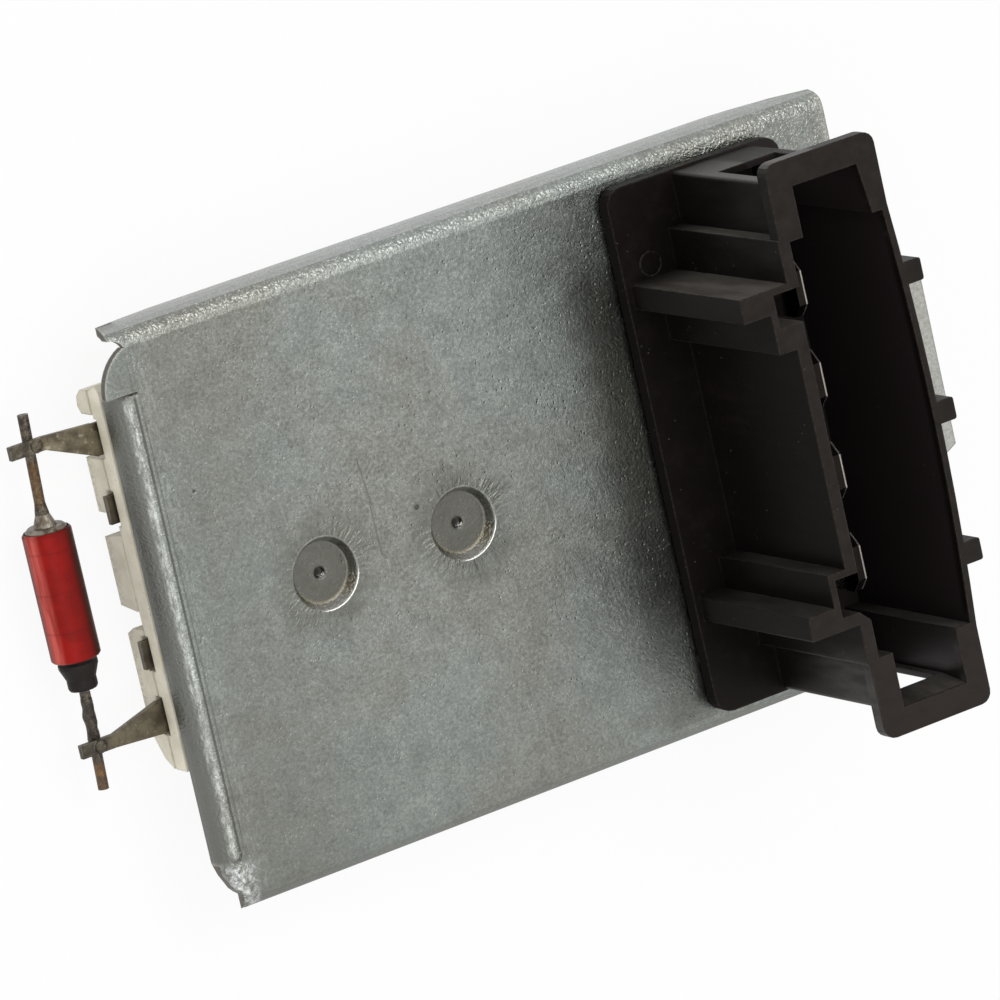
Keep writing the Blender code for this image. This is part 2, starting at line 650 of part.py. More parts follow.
def build_arm(name, root_y, tip_y, finish):
    """A flat arm: a strip in the carrier that tapers to the weld on the fuse lead."""
    inner_x = COIL_LEFT - COIL_LEG - 0.4 * STRIP_W
    half_strip = STRIP_W / 2
    root = ARM_ROOT_W / 2
    tip = ARM_TIP_W / 2
    outline = [
        (inner_x, root_y - half_strip), (inner_x, root_y + half_strip),
        (CASE_LEFT - GAP, root_y + half_strip), (CASE_LEFT - GAP, root_y + root),
        (FUSE_X + MM, tip_y + tip), (ARM_REACH, tip_y + tip), (ARM_REACH, tip_y - tip),
        (FUSE_X + MM, tip_y - tip), (CASE_LEFT - GAP, root_y - root), (CASE_LEFT - GAP, root_y - half_strip),
    ]
    arm = extrude(name, outline, "Z", STRIP_LOW, STRIP_HIGH, finish)
    weld = turn(name + " weld", [
        (0.9 * WELD_R, -STRIP_T / 2), (WELD_R, 0), (0.8 * WELD_R, 0.6 * WELD_H), (0.4 * WELD_R, WELD_H),
    ], steps=12)
    weld.location = (lead_x(tip_y), tip_y, STRIP_HIGH)
    return join(arm, weld)


def build_link_strip(finish):
    """The strip that joins the middle coil's end, with two tabs that reach out of the carrier."""
    inner_x = CHAMBER_LEFT + GAP
    outer_x = inner_x + STRIP_W
    high = TAB_HIGH_Y + TAB_WIDTH / 2
    low = TAB_LOW_Y - TAB_WIDTH / 2
    bar = [(inner_x, low), (outer_x, low), (outer_x, high), (inner_x, high)]
    strip = extrude("link_strip", bar, "Z", STRIP_LOW, STRIP_HIGH, finish)
    middle_y = COILS["resistor_coil_mid"]["y"]
    join(strip, box(
        "link lug", (outer_x - MM, middle_y - STRIP_W / 2, STRIP_LOW),
        (COIL_LEFT - COIL_LEG + STRIP_W, middle_y + STRIP_W / 2, STRIP_HIGH),
    ))
    for tab_y in (TAB_HIGH_Y, TAB_LOW_Y):
        join(strip, box(
            "link tab", (CASE_LEFT - TAB_REACH, tab_y - TAB_WIDTH / 2, STRIP_LOW),
            (inner_x + MM, tab_y + TAB_WIDTH / 2, STRIP_HIGH),
        ))
    return strip


def build_fuse(metal, sleeve, seal, wire):
    """Thermal fuse along Y: metal case, red sleeve, resin seal and two leads."""
    lead_z = STRIP_LOW - GAP - LEAD_R
    length = FUSE_HIGH - FUSE_LOW
    middle = (FUSE_HIGH + FUSE_LOW) / 2
    holder = bpy.data.objects.new("fuse_axis", None)
    bpy.context.collection.objects.link(holder)
    holder.location = (FUSE_X, middle, lead_z)
    holder.rotation_euler = (-math.pi / 2, 0, 0)
    case_r = FUSE_R - SLEEVE_T - 0.05 * MM
    half = length / 2
    case = turn("fuse_case", [
        (CAP_R, -half), (case_r - 0.2 * MM, -half), (case_r, -half + 0.2 * MM), (case_r, half - 0.15 * MM),
        (case_r - 0.25 * MM, half + 0.1 * MM), (CAP_R, half + 0.1 * MM), (LEAD_R + 0.1 * MM, half + CAP_H),
    ], metal)
    cover = turn("fuse_sleeve", [
        (FUSE_R - 0.12 * MM, -half + 0.05 * MM), (FUSE_R, -half + 0.2 * MM),
        (FUSE_R, half - 0.4 * MM), (FUSE_R - 0.15 * MM, half - 0.2 * MM),
    ], sleeve)
    bore = turn("sleeve bore", [(case_r + 0.1 * MM, -length), (case_r + 0.1 * MM, length)])
    cut(cover, bore)
    cone = turn("fuse_seal", [
        (LEAD_R + 0.05 * MM, -half - SEAL_H), (SEAL_R - 0.1 * MM, -half - SEAL_H),
        (SEAL_R, -half - SEAL_H + 0.2 * MM), (SEAL_R, -half - SEAL_H + 0.9 * MM),
        (case_r - 0.1 * MM, -half - 2 * GAP), (case_r - 0.1 * MM, -half - GAP),
    ], seal)
    upper = turn("fuse_lead_upper", [(LEAD_R, 0), (LEAD_R, LEAD_HIGH - FUSE_HIGH - CAP_H - GAP)], wire, steps=16)
    upper.location.z = half + CAP_H + GAP
    lower = turn("fuse_lead_lower", [(LEAD_R, LEAD_LOW - FUSE_LOW + SEAL_H + GAP), (LEAD_R, 0)], wire, steps=16)
    lower.location.z = -half - SEAL_H - GAP
    for lead in (upper, lower):
        lead.rotation_euler.y = math.radians(LEAD_LEAN)
    for piece in (case, cover, bore, cone, upper, lower):
        piece.parent = holder
        smooth_rounds(piece)


def build_rivets(finish):
    low = SHEET_T + SEAT_DEPTH + GAP
    high = CASE_HEIGHT - SHEET_T - SEAT_DEPTH - GAP
    made = []
    for index, seat_x in enumerate(SEAT_X):
        rivet = turn("clamp_rivet_%d" % (index + 1), [
            (RIVET_R - 0.3 * MM, low), (RIVET_R, low + 0.3 * MM),
            (RIVET_R, high - 0.3 * MM), (RIVET_R - 0.3 * MM, high),
        ], finish)
        rivet.location = (seat_x, 0, 0)
        smooth_rounds(rivet)
        made.append(rivet)
    return made


def bow(y):
    """How far the long wall opposite the rails bulges out, as it left the mould."""
    return BOW * (1 - (y / SHOULDER_Y) ** 2)


def bowed_side(x, half, steps=10):
    heights = [-half + 2 * half * step / steps for step in range(steps + 1)]
    return [(x + bow(y), y) for y in heights]


def shroud_outline():
    """The outside of the shroud: narrow ends, shoulders, and two keyways with their rails."""
    low = (END_WALL_RIGHT - END_CORNER_R, -SHROUD_HALF + END_CORNER_R)
    high = (END_WALL_RIGHT - END_CORNER_R, SHROUD_HALF - END_CORNER_R)
    low_left = (END_WALL_X + END_SHARP_R, -SHROUD_HALF + END_SHARP_R)
    high_left = (END_WALL_X + END_SHARP_R, SHROUD_HALF - END_SHARP_R)
    right = (
        arc(low, END_CORNER_R, 270, 360, 4) + [(END_WALL_RIGHT, -SHOULDER_Y)]
        + bowed_side(RIM_RIGHT, SHOULDER_Y) + [(END_WALL_RIGHT, SHOULDER_Y)]
        + arc(high, END_CORNER_R, 0, 90, 4)
    )
    left = arc(high_left, END_SHARP_R, 90, 180, 3) + [
        (END_WALL_X, SHOULDER_Y), (SHOULDER_WALL_X, SHOULDER_Y),
        (SHOULDER_WALL_X, KEYWAY_HIGH[1]), (RAIL_X, KEYWAY_HIGH[1]), (RAIL_X, KEYWAY_HIGH[1] - RAIL_T),
        (KEYWAY_WALL_X, KEYWAY_HIGH[1] - RAIL_T), (KEYWAY_WALL_X, KEYWAY_HIGH[0]),
        (MIDDLE_WALL_X, KEYWAY_HIGH[0]), (MIDDLE_WALL_X, KEYWAY_LOW[1]),
        (KEYWAY_WALL_X, KEYWAY_LOW[1]), (KEYWAY_WALL_X, KEYWAY_LOW[0] + RAIL_T),
        (RAIL_X, KEYWAY_LOW[0] + RAIL_T), (RAIL_X, KEYWAY_LOW[0]),
        (SHOULDER_WALL_X, KEYWAY_LOW[0]), (SHOULDER_WALL_X, -SHOULDER_Y), (END_WALL_X, -SHOULDER_Y),
    ] + arc(low_left, END_SHARP_R, 180, 270, 3)
    return right + left


def socket_outline():
    """The inside of the shroud, also of its rim, one wall inside the outline."""
    end = END_WALL_X + WALL_T
    shoulder = SHOULDER_WALL_X + WALL_T
    middle = MIDDLE_WALL_X + WALL_T
    key = KEYWAY_WALL_X + THIN_WALL_T
    inside = SHROUD_HALF - THIN_WALL_T
    block = KEYWAY_LOW[0] + KEYWAY_BLOCK / 2
    right = (
        [(END_WALL_RIGHT - WALL_T, -inside), (END_WALL_RIGHT - WALL_T, -RIM_LEG)]
        + bowed_side(RIM_RIGHT - THIN_WALL_T, RIM_LEG)
        + [(END_WALL_RIGHT - WALL_T / 2, RIM_LEG), (END_WALL_RIGHT - WALL_T, inside)]
    )
    left = [
        (end, inside), (end, RIM_LEG), (shoulder, RIM_LEG),
        (shoulder, KEYWAY_HIGH[1] - THIN_WALL_T), (key, KEYWAY_HIGH[1] - THIN_WALL_T),
        (key, KEYWAY_HIGH[0] + KEYWAY_BLOCK), (middle, KEYWAY_HIGH[0] + KEYWAY_BLOCK),
        (middle, KEYWAY_LOW[1] - THIN_WALL_T), (key, KEYWAY_LOW[1] - THIN_WALL_T),
        (key, block), (shoulder - KEYWAY_CORNER, block), (shoulder, block - KEYWAY_CORNER),
        (shoulder, -RIM_LEG), (end, -RIM_LEG), (end, -inside),
    ]
    return right + left


def rim_flange(side):
    """One end of the rim: square where it meets the shoulders, rounded at the outer corners."""
    edge = side * RIM_HALF + RIM_SHIFT
    centre_y = edge - side * RIM_CORNER_R
    right = arc((RIM_RIGHT - RIM_CORNER_R, centre_y), RIM_CORNER_R, 0, side * 90, 4)
    left = arc((RIM_LEFT + RIM_CORNER_R, centre_y), RIM_CORNER_R, side * 90, side * 180, 4)
    outline = [(RIM_RIGHT, side * RIM_LEG)] + right + left + [(RIM_LEFT, side * RIM_LEG)]
    return extrude("rim flange", outline, "Z", RIM_Z - RIM_T, RIM_Z)


def build_connector_housing(finish):
    housing = extrude(
        "connector_housing",
        rounded_rectangle(PLATE_LEFT, PLATE_RIGHT, -PLATE_HALF, PLATE_HALF, PLATE_CORNER_R),
        "Z", PLATE_LOW, PLATE_TOP, finish,
    )
    overlap = PLATE_T / 2
    join(housing, extrude("shroud", shroud_outline(), "Z", PLATE_TOP - overlap, RIM_Z))
    for side in (-1, 1):
        join(housing, rim_flange(side))
    for row in (-1, 0, 1):
        centre = row * LUG_PITCH
        wall = RIM_RIGHT + bow(centre)
        lug = rounded_rectangle(
            wall - THIN_WALL_T, wall + LUG_REACH, centre - LUG_W / 2, centre + LUG_W / 2, LUG_CORNER_R, 2,
        )
        join(housing, extrude("guide lug", lug, "Z", PLATE_TOP - overlap, RIM_Z))
    cut(housing, extrude("socket", socket_outline(), "Z", PLATE_TOP, RIM_Z + MM))
    inside = SHROUD_HALF - THIN_WALL_T
    mouth = [
        (-inside, WINDOW_HIGH), (inside, WINDOW_HIGH), (MOUTH_HIGH, RIM_Z), (MOUTH_HIGH, RIM_Z + MM),
        (MOUTH_LOW, RIM_Z + MM), (MOUTH_LOW, RIM_Z),
    ]
    cut(housing, extrude("drafted mouth", mouth, "X", END_WALL_X + WALL_T, END_WALL_RIGHT - WALL_T))
    cut(housing, box(
        "latch windows", (WINDOW_LEFT, -PLATE_HALF - MM, WINDOW_LOW),
        (WINDOW_RIGHT, PLATE_HALF + MM, WINDOW_HIGH),
    ))
    for blade_y in BLADE_Y:
        cut(housing, box(
            "blade hole", (BLADE_X - BLADE_T / 2 - GAP, blade_y - BLADE_W / 2 - GAP, 0),
            (BLADE_X + BLADE_T / 2 + GAP, blade_y + BLADE_W / 2 + GAP, PLATE_TOP + MM),
        ))
    for side in (-1, 1):
        peg = turn("staked peg", [
            (PEG_HEAD_R - 0.3 * MM, peg_foot()), (PEG_HEAD_R, peg_foot() + 0.3 * MM),
            (PEG_HEAD_R, FACE_UNDER - GAP), (PEG_R, FACE_UNDER - GAP), (PEG_R, PLATE_LOW + overlap),
        ])
        peg.location = (BLADE_X, side * PEG_Y, 0)
        join(housing, peg)
    return housing


def main():
    clear_scene()
    steel = material("galvanised steel", (0.46, 0.48, 0.46), 0.42, 0.85)
    rear_steel = material("rear steel", (0.44, 0.46, 0.45), 0.45, 0.85)
    ceramic = material("cream ceramic", (0.83, 0.80, 0.71), 0.55, 0.0)
    nichrome = material("resistance wire", (0.42, 0.38, 0.34), 0.4, 0.9)
    tinned = material("tinned brass", (0.72, 0.70, 0.66), 0.3, 0.95)
    tarnished = material("tarnished strip", (0.33, 0.29, 0.24), 0.5, 0.85)
    lead_wire = material("lead wire", (0.36, 0.32, 0.28), 0.45, 0.85)
    can = material("fuse can", (0.40, 0.38, 0.35), 0.4, 0.9)
    red = material("red sleeve", (0.75, 0.05, 0.03), 0.35, 0.0)
    resin = material("seal resin", (0.06, 0.06, 0.06), 0.5, 0.0)
    plastic = material("black moulding", (0.02, 0.02, 0.02), 0.45, 0.0)

    build_front_casing(steel)
    build_rear_casing(rear_steel)
    build_carrier_front(ceramic)
    build_carrier_rear(ceramic)
    build_coils(nichrome)
    build_terminals(tinned)
    build_arm("fuse_arm_upper", UPPER_ARM_Y, UPPER_ARM_TIP_Y, tarnished)
    build_arm("fuse_arm_lower", LOWER_ARM_Y, LOWER_ARM_TIP_Y, tarnished)
    build_link_strip(tarnished)
    build_fuse(can, red, resin, lead_wire)
    build_rivets(steel)
    build_connector_housing(plastic)
    frame = bpy.data.objects.new("part_frame", None)
    bpy.context.collection.objects.link(frame)
    middle_x = (REACH_LEFT + REACH_RIGHT) / 2
    middle_y = (CASE_TOP - RIM_HALF + RIM_SHIFT) / 2
    frame.matrix_world = Matrix.Translation((-middle_x, -middle_y, 0))
    for piece in list(bpy.data.objects):
        if piece is not frame and piece.parent is None:
            piece.parent = frame


main()
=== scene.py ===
import math

import bmesh
import bpy
from mathutils import Matrix, Vector, noise


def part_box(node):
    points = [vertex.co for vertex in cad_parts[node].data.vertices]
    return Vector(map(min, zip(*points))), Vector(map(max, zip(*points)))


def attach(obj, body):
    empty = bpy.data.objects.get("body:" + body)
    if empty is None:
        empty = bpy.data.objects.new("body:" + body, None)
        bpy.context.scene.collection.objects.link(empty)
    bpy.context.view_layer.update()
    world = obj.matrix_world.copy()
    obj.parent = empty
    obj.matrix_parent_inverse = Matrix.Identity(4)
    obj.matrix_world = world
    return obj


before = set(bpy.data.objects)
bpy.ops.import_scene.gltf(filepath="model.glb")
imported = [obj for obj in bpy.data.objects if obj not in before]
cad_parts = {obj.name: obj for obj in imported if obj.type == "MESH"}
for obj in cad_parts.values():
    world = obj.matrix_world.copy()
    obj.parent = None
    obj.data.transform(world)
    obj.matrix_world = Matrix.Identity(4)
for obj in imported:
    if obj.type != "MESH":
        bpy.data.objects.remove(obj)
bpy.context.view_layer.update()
print("frame loaded:", len(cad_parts), "nodes")

mm = 0.001
drawing = {"tongueEnd": 39.8, "foldTop": 24.4}  # the front sheet's reach in drawing millimetres
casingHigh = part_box("front_casing")[1]
originX = casingHigh.x / mm - drawing["tongueEnd"]
originY = casingHigh.y / mm - drawing["foldTop"]


class Wire:
    # one shader socket; arithmetic on it adds the nodes
    def __init__(self, board, socket):
        self.board = board
        self.socket = socket

    def isVector(self):
        return self.socket.type in ("VECTOR", "RGBA")

    def combine(self, operation, first, second):
        return self.board.calculate(operation, first, second)

    def __add__(self, other):
        return self.combine("ADD", self, other)

    def __radd__(self, other):
        return self.combine("ADD", other, self)

    def __sub__(self, other):
        return self.combine("SUBTRACT", self, other)

    def __rsub__(self, other):
        return self.combine("SUBTRACT", other, self)

    def __mul__(self, other):
        return self.combine("MULTIPLY", self, other)

    def __rmul__(self, other):
        return self.combine("MULTIPLY", other, self)

    def __truediv__(self, other):
        return self.combine("DIVIDE", self, other)

    def __rtruediv__(self, other):
        return self.combine("DIVIDE", other, self)

    def __neg__(self):
        return self.combine("MULTIPLY", self, -1.0)

    def out(self, name):
        return Wire(self.board, self.socket.node.outputs[name])


def vectorLike(value):
    if isinstance(value, Wire):
        return value.isVector()
    return isinstance(value, (tuple, Vector))


class Board:
    # the node tree of a material or the world, with the colour and relief laid on so far
    def __init__(self, owner):
        owner.use_nodes = True
        self.owner = owner
        self.tree = owner.node_tree
        self.colour = None
        self.height = 0.0

    def connect(self, target, value):
        if isinstance(value, Wire):
            self.tree.links.new(value.socket, target)
        elif vectorLike(value):
            target.default_value = (tuple(value) + (1.0,))[:len(target.default_value)]
        elif hasattr(target.default_value, "__len__"):
            target.default_value = ([value] * 3 + [1.0])[:len(target.default_value)]
        else:
            target.default_value = value

    def add(self, kind, settings=None, **values):
        # values go to the socket of their name, or of their number as n0, n1
        node = self.tree.nodes.new(kind)
        for key, value in (settings or {}).items():
            setattr(node, key, value)
        for key, value in values.items():
            place = int(key[1:]) if key[0] == "n" and key[1:].isdigit() else key.replace("_", " ")
            self.connect(node.inputs[place], value)
        return Wire(self, next(socket for socket in node.outputs if socket.enabled))

    def calculate(self, operation, first, second):
        vectors = vectorLike(first) or vectorLike(second)
        kind = "ShaderNodeVectorMath" if vectors else "ShaderNodeMath"
        return self.add(kind, {"operation": operation}, n0=first, n1=second)

    def math(self, operation, first, second=0.0):
        return self.add("ShaderNodeMath", {"operation": operation}, n0=first, n1=second)

    def vector(self, operation, **values):
        return self.add("ShaderNodeVectorMath", {"operation": operation}, **values)

    def dot(self, first, second):
        return self.vector("DOT_PRODUCT", n0=first, n1=second).out("Value")

    def length(self, value):
        return self.vector("LENGTH", n0=value).out("Value")

    def larger(self, first, second):
        return self.math("MAXIMUM", first, second)

    def size(self, value):
        return self.math("ABSOLUTE", value)

    def blend(self, factor, first, second):
        return self.add("ShaderNodeMix", {"data_type": "RGBA"}, n0=factor, n6=first, n7=second)

    def tint(self, mask, colour):
        self.colour = self.blend(mask, self.colour, colour)

    def between(self, value, low, high):
        # smooth step from 0 at low to 1 at high, which may be the smaller value
        return self.add(
            "ShaderNodeMapRange", {"interpolation_type": "SMOOTHSTEP"},
            Value=value, From_Min=low, From_Max=high,
        )

    def below(self, value, low, high):
        # smooth step from 1 at low to 0 at high
        return 1.0 - self.between(value, low, high)

    def noise(self, place, scale, detail=3.0, roughness=0.55):
        return self.add(
            "ShaderNodeTexNoise", Vector=place, Scale=scale, Detail=detail, Roughness=roughness,
        )

    def cells(self, place, scale):
        return self.add("ShaderNodeTexVoronoi", Vector=place, Scale=scale)

    def readPlace(self):
        # where the shaded spot lies in the drawing's millimetres, and the way it faces
        here = self.add("ShaderNodeTexCoord").out("Object")
        self.spot = here * (1.0 / mm) - (originX, originY, 0.0)
        self.x, self.y, self.z = self.split(self.spot)
        self.plainNormal = self.add("ShaderNodeNewGeometry").out("Normal")
        self.nx, self.ny, self.nz = self.split(self.plainNormal)

    def split(self, vector):
        made = self.add("ShaderNodeSeparateXYZ", Vector=vector)
        return made.out("X"), made.out("Y"), made.out("Z")

    def near(self, place, spot, reach, soft):
        # 1 within reach of a spot, 0 beyond reach + soft
        return self.below(self.length(place - spot), reach, reach + soft)

    def stroke(self, place, start, end, width):
        # 1 on the line from start to end, 0 beyond width
        start = Vector(start)
        run = Vector(end) - start
        away = place - start
        share = self.add(
            "ShaderNodeClamp", Value=self.dot(away, tuple(run)) / run.length_squared, Min=0.0, Max=1.0,
        )
        return self.below(self.length(away - share * tuple(run)), 0.3 * width, width)

    def bump(self, height, depth, strength, normal=None):
        values = {"Height": height, "Distance": depth * mm, "Strength": strength}
        if normal is not None:
            values["Normal"] = normal
        return self.add("ShaderNodeBump", **values)

    def rounded(self, radius):
        return self.add("ShaderNodeBevel", {"samples": 4}, Radius=radius * mm)

    def edges(self, soft):
        # 0 on flats, rising on edges that the rounding turns
        return 1.0 - self.dot(soft, self.plainNormal)

    def finish(self, **values):
        shader = self.tree.nodes["Principled BSDF"]
        for key, value in values.items():
            self.connect(shader.inputs[key.replace("_", " ")], value)
        return self.owner


def newFinish(name):
    board = Board(bpy.data.materials.new(name))
    board.readPlace()
    return board


def flat(place):
    # the same place on the plane of the sheet
    return place * (1.0, 1.0, 0.0)


sheetFinish = {
    "pale": (0.330, 0.352, 0.322),
    "dark": (0.150, 0.153, 0.134),
    "blueCast": (0.236, 0.257, 0.246),
    "brownCast": (0.252, 0.254, 0.228),
    "edgeBright": (0.66, 0.64, 0.58),
    "metallic": 0.97,
    "roughness": 0.245,
    "relief": 0.07,
    "plainRelief": 0.06,
    "edgeRadius": 0.28,
}


def zincGround(name):
    # mottled zinc: broad casts, patches, grain and flakes, with dark specks and bright glints
    sheet = newFinish(name)
    spot = sheet.spot
    cloud = sheet.add("ShaderNodeTexNoise", Vector=spot, Scale=0.9, Detail=2.0).out("Color")
    sheet.moved = spot + (cloud - (0.5, 0.5, 0.5)) * 0.9
    broad = sheet.noise(sheet.moved, 0.075, 3.0, 0.5)
    sheet.patch = sheet.noise(sheet.moved, 0.5, 5.0, 0.7)
    sheet.grain = sheet.noise(spot, 3.4, 4.0, 0.8)
    flake = sheet.dot(sheet.cells(sheet.moved, 2.2).out("Color"), (0.33, 0.33, 0.34))
    tone = 0.5 + (broad - 0.5) * 0.5 + (sheet.patch - 0.5) * 0.7
    tone = tone + (sheet.grain - 0.5) * 2.0 + (flake - 0.5) * 0.3
    cast = sheet.blend(sheet.between(broad, 0.38, 0.62), sheetFinish["brownCast"], sheetFinish["blueCast"])
    sheet.colour = sheet.blend(sheet.between(tone, 0.45, 0.95), cast, sheetFinish["pale"])
    sheet.tint(sheet.between(tone, 0.55, 0.08) * 0.8, sheetFinish["dark"])
    speckPlace = sheet.noise(spot, 0.35, 3.0)
    speck = sheet.below(sheet.cells(spot, 1.9).out("Distance"), 0.09, 0.24)
    speck = speck * sheet.between(speckPlace, 0.47, 0.58)
    sheet.tint(speck * 0.6, sheetFinish["dark"])
    glint = sheet.below(sheet.cells(sheet.moved + (7.3, 2.1, 0.0), 1.6).out("Distance"), 0.05, 0.13)
    glint = glint * sheet.between(speckPlace, 0.55, 0.42)
    sheet.tint(glint * 0.4, sheetFinish["edgeBright"])
    sheet.height = sheet.patch * 0.5 + sheet.grain * 0.6 + flake * 0.2 - speck * 0.5
    sheet.rough = sheetFinish["roughness"] + (sheet.patch - 0.5) * 0.2 + (sheet.grain - 0.5) * 0.15
    return sheet


def plainZinc(name):
    sheet = zincGround(name)
    return sheet.finish(
        Base_Color=sheet.colour, Metallic=sheetFinish["metallic"], Roughness=sheet.rough,
        Normal=sheet.bump(sheet.height, sheetFinish["plainRelief"], 0.6),
    )


handlingSet = {
    "darkerLeft": (-31.0, -14.0),  # darker towards the end fold and the low side
    "darkerLow": (-22.0, -4.0),
    "scratches": (((-14.75, 7.8), (-14.35, 4.0), 0.09), ((-14.5, 4.3), (-14.42, -0.1), 0.10)),
    "scratchDark": (0.09, 0.09, 0.08),
    "pits": ((-29.3, 9.86, 0.07), (-10.44, 2.53, 0.16)),
    "pitDark": (0.05, 0.048, 0.042),
    "rubTurn": 0.6,
}


def darkerLeftAndLow(sheet):
    # the sheet is tinted darker towards the end fold and the low side
    left = sheet.below(sheet.x, *handlingSet["darkerLeft"])
    low = sheet.below(sheet.y, *handlingSet["darkerLow"])
    sheet.tint((left * 0.6 + low * 0.35) * 0.5, sheetFinish["dark"])


def scratchesAndPits(sheet):
    flatSpot = flat(sheet.spot)
    for start, end, width in handlingSet["scratches"]:
        line = sheet.stroke(flatSpot, (*start, 0.0), (*end, 0.0), width)
        line = line * sheet.between(sheet.grain, 0.32, 0.56)
        sheet.tint(line * 0.55, handlingSet["scratchDark"])
        sheet.height = sheet.height - line * 0.15
    for pitX, pitY, reach in handlingSet["pits"]:
        hole = sheet.near(flatSpot, (pitX, pitY, 0.0), reach, 0.14)
        sheet.tint(hole * 0.8, handlingSet["pitDark"])
        sheet.height = sheet.height - hole * 0.4
    turnedSpot = sheet.add(
        "ShaderNodeVectorRotate", {"rotation_type": "Z_AXIS"}, Vector=sheet.spot, Angle=handlingSet["rubTurn"],
    )
    rub = sheet.between(sheet.noise(turnedSpot * (5.0, 0.3, 1.0), 0.9, 3.0, 0.6), 0.665, 0.70)
    sheet.tint(rub * sheet.onFace * 0.35, sheetFinish["dark"])


seatMarks = {
    "middle": -13.2,  # the two pressed seats lie half a pitch to each side
    "halfPitch": 6.5,
    "halo": (3.2, 5.9),  # distances from a seat's centre
    "haloStart": (2.9, 3.1),
    "floorEdge": (2.78, 2.92),
    "pit": (0.42, 0.56),
    "lightSide": (0.54, 0.84),
    "floor": (0.094, 0.089, 0.075),
    "floorPale": (0.245, 0.256, 0.232),
    "floorTan": (0.330, 0.290, 0.190),
    "pitDark": (0.014, 0.012, 0.011),
    "spark": (0.9, 0.88, 0.84),
    "lipBright": (0.95, 0.94, 0.90),
    "wallTan": (0.45, 0.43, 0.34),
}


def pressedSeats(sheet):
    # dull combed halo, grey-brown floor, dark pit of painted shade with a painted spark of highlight, painted
    # highlight on the lip, painted reflection on the low wall
    x, y, grain = sheet.x, sheet.y, sheet.grain
    fromX = sheet.size(x - seatMarks["middle"]) - seatMarks["halfPitch"]
    away = sheet.length(sheet.add("ShaderNodeCombineXYZ", X=fromX, Y=y))
    angle = sheet.math("ARCTAN2", y, fromX)
    combed = sheet.noise(sheet.add("ShaderNodeCombineXYZ", X=angle * 9.0, Y=away * 0.7), 1.0, 3.0, 0.6)
    halo = sheet.below(away + (sheet.patch - 0.5) * 3.4, *seatMarks["halo"])
    halo = halo * sheet.between(away, *seatMarks["haloStart"])
    sheet.tint(halo * (0.3 + combed * 0.85), sheetFinish["dark"])
    sheet.height = sheet.height + halo * (combed - 0.5) * 2.4
    worn = grain * 0.45 + sheet.patch * 0.25 - 0.12
    floorTone = sheet.blend(worn, seatMarks["floor"], seatMarks["floorPale"])
    tan = sheet.between(away, 2.2, 2.5) * sheet.between(-y, 0.2, 2.2)
    floorTone = sheet.blend(tan * (0.3 + grain * 0.8), floorTone, seatMarks["floorTan"])
    ring = sheet.between(away, 0.5, 0.8) * sheet.below(away, 0.9, 1.3)
    floorTone = sheet.blend(ring * 0.3, floorTone, sheetFinish["dark"])
    # painted shade in the seat's centre hole
    floorTone = sheet.blend(sheet.below(away, *seatMarks["pit"]) * 0.96, floorTone, seatMarks["pitDark"])
    realX = fromX * sheet.math("SIGN", x - seatMarks["middle"])
    rightward, upward = seatMarks["lightSide"]
    lipSide = realX * rightward - y * upward
    # painted spark of highlight inside the hole
    spark = sheet.between(lipSide, 0.30, 0.36) * sheet.below(away, 0.42, 0.50)
    floorTone = sheet.blend(spark, floorTone, seatMarks["spark"])
    sheet.tint(sheet.below(away, *seatMarks["floorEdge"]) * 0.95, floorTone)
    # painted highlight on the lip, strong on one side and faint on the other
    lip = sheet.between(away, 2.94, 2.98) * sheet.below(away, 3.01, 3.08)
    sheet.tint(lip * sheet.between(lipSide, 1.7, 2.6) * 0.95, seatMarks["lipBright"])
    sheet.tint(lip * sheet.between(-lipSide, 1.2, 2.7) * 0.2, sheetFinish["edgeBright"])
    # painted reflection on the low wall, lighter with less metal
    lowWall = sheet.between(away, 2.45, 2.6) * sheet.below(away, 2.88, 2.95) * sheet.between(-y, 1.0, 2.7)
    sheet.tint(lowWall * (0.3 + grain * 0.5), seatMarks["wallTan"])
    sheet.metal = sheet.metal - lowWall * 0.3


plateShadowSet = {
    "from": (5.0, 9.6),  # painted shadow and dark reflection of the connector lie left of its plate
    "to": (12.0, 13.0),
    "fadeHigh": (14.0, 19.0),
    "fadeLow": (-19.0, -11.0),
    "colour": (0.080, 0.080, 0.068),
}


def paintedPlateShadow(sheet):
    field = sheet.noise(sheet.moved, 0.33, 5.0, 0.7)
    beside = sheet.between(sheet.x + (field - 0.5) * 4.0, *plateShadowSet["from"])
    beside = beside * sheet.below(sheet.x, *plateShadowSet["to"]) * sheet.below(sheet.y, *plateShadowSet["fadeHigh"])
    beside = beside * (0.5 + sheet.between(sheet.y, *plateShadowSet["fadeLow"]) * 0.5) * sheet.onFace
    # painted shadow and dark reflection of the connector
    sheet.tint(beside * 0.8, plateShadowSet["colour"])


bendSet = {
    "topZ": (5.8, 6.4),
    "endX": (-31.2, -32.2),
    "farX": (16.0, 22.0),
    "farY": (12.0, 18.0),
    "tongueX": (33.0, 34.5),
    "farSide": (0.54, 0.55, 0.55),
    "nearSide": (0.125, 0.127, 0.113),
}


